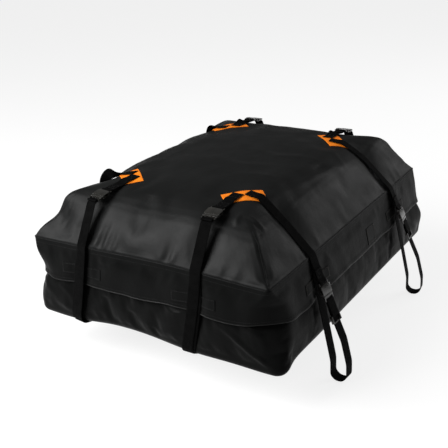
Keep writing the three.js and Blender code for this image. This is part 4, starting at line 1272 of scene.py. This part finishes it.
keeper_points = [surfaces["keeper_" + strap.name] for strap in STRAPS]
patch_points = [surfaces["patch_" + name] for name in PATCHES]
welt_points = mesh_points(seam_welt.data)
TOP_GRIDS = [lid_points, flap_outer, welt_points, *patch_points]
SIDE_GRIDS = [lid_points, tub_points, flap_outer, welt_points, *keeper_points]


def top_strap(strap, chain):
    """From the patch over the lid, round the female's bar and back over itself."""
    bar = flat_point(strap, chain.bar)
    along = np.array([chain.along @ strap.out, chain.along[2]])
    off = np.array([-along[1], along[0]])
    end = bar - off * EYE_RADIUS
    surface = surface_under(strap, NEAR, TOP_GRIDS)
    u, z = surface.T
    start = np.array([0.0, z[np.abs(u) < 3].max()])
    reachable = surface[(u > 1) & (u < end[0] - 1) & (z > min(bar[1] + 1, SEAM))]
    lower = respaced(taut(start, end, reachable), 4.0)
    lower = softened(lower, 1.6) if len(lower) > 16 else lower
    first, last, height, twist = SLACK[strap.name]
    hump = np.sin(np.pi * ramp(lower[:, 0], first, last) ** SLACK_SKEW) ** 2
    lower += plane_normals(lower) * (height * hump)[:, None]
    turn = np.radians(np.linspace(-90, 90, 9))
    eye = bar + EYE_RADIUS * (np.outer(np.cos(turn), along) + np.outer(np.sin(turn), off))
    run = run_of(lower)
    back = run[-1] - np.arange(0, FOLD_LENGTH, 4.0)
    rise = LAYER + (2 * EYE_RADIUS - LAYER) * bell(run[-1] - back, 7)
    upper = at_run(back, run, lower) + at_run(back, run, plane_normals(lower)) * rise[:, None]
    path = np.concatenate([lower, eye[1:-1], upper])
    turned = np.zeros(len(path))
    turned[:len(lower)] = math.radians(twist) * hump
    sewn = strap_ribbon("top_webbing_" + strap.name, strap, path, turned=turned)
    lift = WEB_THICKNESS / 2 + 0.15
    total = run_of(sewn[0])[-1]
    return box_stitches(*sewn, 4, 32, lift) + box_stitches(*sewn, total - 26, total - 4, -lift)


def long_strap(strap, chain):
    """From the glide down round the rail or crossbar, and up behind itself to the flap."""
    half = WEB_THICKNESS / 2

    def on_chain(distance):
        return flat_point(strap, chain.point(distance, half))

    start = on_chain(chain.strap_start)
    below = surface_under(strap, NEAR, SIDE_GRIDS)
    wall = below[np.abs(below[:, 1] - ANCHOR_Z) < 4]
    anchor = np.array([wall[:, 0].max(), ANCHOR_Z])
    below = below[below[:, 1] < ANCHOR_Z]
    if strap.to_rail:
        centre = np.array([strap.wall + RAIL_DISTANCE, -RAIL_DROP])
        w = RAIL_WIDTH / 2 + NEAR
        h = RAIL_HEIGHT / 2 + NEAR
        r = RAIL_ROUND
        direction = on_chain(100) - on_chain(0)
        corners = [(w, h - r), (w, r - h), (w - r, -h), (r - w, -h), (-w, r - h), (-w, h - r)]
        loop = [start + direction * (start[1] - KNEE_Z) / -direction[1]]
        down = np.array([start])
    else:
        reach = BAR_TUBE / 2 + NEAR
        r = BAR_ROUND
        layers = 2 * NEAR + 0.3 - half
        centre = np.array([strap.wall - BAR_INSET, -layers - BAR_TUBE / 2])
        bend = on_chain(chain.link_end)
        outer = surface_under(strap, NEAR + LAYER + 0.4, SIDE_GRIDS)
        outer = outer[(outer[:, 0] > bend[0] + 1) | (outer[:, 1] < SEAM)]
        corners = [
            (r - reach, -reach), (-reach, r - reach), (-reach, reach - r),
            (r - reach, layers + BAR_TUBE / 2 - NEAR),
        ]
        loop = []
        down = np.vstack([start, taut(bend, centre + (reach - r, -reach), outer)])
    loop += [centre + corner for corner in corners]
    back = taut(anchor, loop[-1], below)[::-1]
    path = softened(respaced(np.concatenate([down, loop, back[1:]]), 4.0), 1.5)
    run = run_of(path)
    lowest = run[int(np.argmin(path[:, 1]))]
    returning = ramp(run, lowest - 30, lowest + 30) * ramp(run, run[-1], run[-1] - 60)
    shift = RETURN_SHIFT.get(strap.name, 0) * returning
    strap_ribbon("long_webbing_" + strap.name, strap, path, shift)


def web_link(strap, chain):
    """The short closed loop of webbing between the male half and the glide."""
    reach = (chain.link - chain.bar) @ chain.along
    height = (chain.link - chain.bar) @ chain.off
    middle = (height.min() + height.max()) / 2
    outer = (height.max() - height.min()) / 2
    radius = outer - WEB_THICKNESS / 2
    path = []
    for centre, start in ((reach.max() - outer, 90), (reach.min() + outer, 270)):
        for angle in np.radians(start - np.linspace(0, 180, 9)):
            path.append((centre + radius * math.cos(angle), middle + radius * math.sin(angle)))
    path = respaced(np.array(path + path[:1]), 2.0)[:-1]
    centres = chain.bar + path[:, :1] * chain.along + path[:, 1:] * chain.off
    along = unit(np.roll(centres, -1, 0) - np.roll(centres, 1, 0))
    across = np.repeat(strap.across[None], len(centres), 0)
    piece = ribbon(
        "link_webbing_" + strap.name, centres, across, np.cross(along, across),
        body="buckle_tail_" + strap.name, closed=True)
    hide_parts("web_link_" + strap.name)


def moulded_copy(node, name, body):
    """The node's own shape with small rounded edges, as moulded plastic has."""
    mesh = nodes[node].data.copy()
    mesh.name = name
    work = bmesh.new()
    work.from_mesh(mesh)
    bmesh.ops.remove_doubles(work, verts=work.verts, dist=0.00001)
    bmesh.ops.dissolve_limit(work, angle_limit=math.radians(2), verts=work.verts, edges=work.edges)
    work.to_mesh(mesh)
    work.free()
    mesh.materials.clear()
    mesh.materials.append(PLASTIC)
    mesh.shade_smooth()
    piece = linked(name, mesh)
    bevel = piece.modifiers.new("edges", "BEVEL")
    bevel.width = 0.0005
    bevel.segments = 2
    bevel.limit_method = "ANGLE"
    bevel.angle_limit = math.radians(35)
    bevel.harden_normals = True
    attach(piece, body)
    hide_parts(node)


strap_stitches = []
for strap in STRAPS:
    chain = Chain(strap)
    tail = "buckle_tail_" + strap.name
    strap_stitches += top_strap(strap, chain)
    long_strap(strap, chain)
    web_link(strap, chain)
    moulded_copy("buckle_female_" + strap.name, "buckle_socket_" + strap.name, "bag")
    moulded_copy("buckle_male_" + strap.name, "buckle_plug_" + strap.name, tail)
    if strap.to_rail:
        moulded_copy("tri_glide_" + strap.name, "glide_" + strap.name, tail)
    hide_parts("top_strap_" + strap.name)
    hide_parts("long_strap_" + strap.name)
add_stitches("strap_stitches", strap_stitches, DARK_THREAD, "webbing")


# The zip's sliders and pulls keep their shape and get a metal finish

for name in ("zip_slider_front", "zip_slider_rear", "zip_pull_front", "zip_pull_rear"):
    for place in nodes[name].material_slots:
        place.material = ZIP_METAL


# Light, floor and background

FLOOR_Z = -0.1345
FLOOR_SIZE = 40
FLOOR_COLOUR = (0.25, 0.25, 0.25, 1)
FLOOR_GLOW = 0.82
WORLD_LIGHT = 0.16
WHITE = (1, 1, 1, 1)


def add_lamp(name, direction, distance, size, power):
    data = bpy.data.lights.new(name, "AREA")
    data.shape = "SQUARE"
    data.size = size
    data.energy = power
    lamp = linked(name, data)
    away = Vector(direction).normalized()
    lamp.location = Vector((0, 0, 0.2)) + away * distance
    lamp.rotation_euler = away.to_track_quat("Z", "Y").to_euler()


def maximum(tree, first, second):
    return shader_node(tree, "Math", {0: first, 1: second}, operation="MAXIMUM").outputs["Value"]


def add_floor():
    """A floor that rays from the camera, off glossy things and through glass see as white."""
    material = bpy.data.materials.new("pale_floor")
    tree = emptied(material)
    path = shader_node(tree, "LightPath").outputs
    seen = maximum(tree, path["Is Camera Ray"], path["Is Glossy Ray"])
    seen = maximum(tree, seen, path["Is Transmission Ray"])
    strength = shader_node(tree, "Math", {0: seen, 1: FLOOR_GLOW}, operation="MULTIPLY")
    diffuse = shader_node(tree, "BsdfDiffuse", {"Color": FLOOR_COLOUR})
    glow = shader_node(tree, "Emission", {"Color": WHITE, "Strength": strength.outputs["Value"]})
    both = shader_node(tree, "AddShader", {0: diffuse.outputs["BSDF"], 1: glow.outputs["Emission"]})
    shader_node(tree, "OutputMaterial", {"Surface": both.outputs["Shader"]})
    half = FLOOR_SIZE / 2
    corners = [(x * half, y * half, FLOOR_Z) for x, y in ((-1, -1), (1, -1), (1, 1), (-1, 1))]
    mesh = bpy.data.meshes.new("floor")
    mesh.from_pydata(corners, [], [(0, 1, 2, 3)])
    mesh.materials.append(material)
    floor = linked("floor", mesh)


def set_world():
    """White for the camera, and a dim light for all else."""
    world = bpy.data.worlds.new("studio")
    bpy.context.scene.world = world
    tree = emptied(world)
    camera_ray = shader_node(tree, "LightPath").outputs["Is Camera Ray"]
    strength = maximum(tree, camera_ray, WORLD_LIGHT)
    background = shader_node(tree, "Background", {"Color": WHITE, "Strength": strength})
    shader_node(tree, "OutputWorld", {"Surface": background.outputs["Background"]})


add_lamp("key", (-0.5, -0.62, 0.6), distance=3.6, size=2.4, power=190)
add_lamp("fill", (0.5, 0.78, 0.4), distance=4.5, size=2.4, power=54)
add_floor()
set_world()
bpy.context.scene.view_settings.view_transform = "Standard"
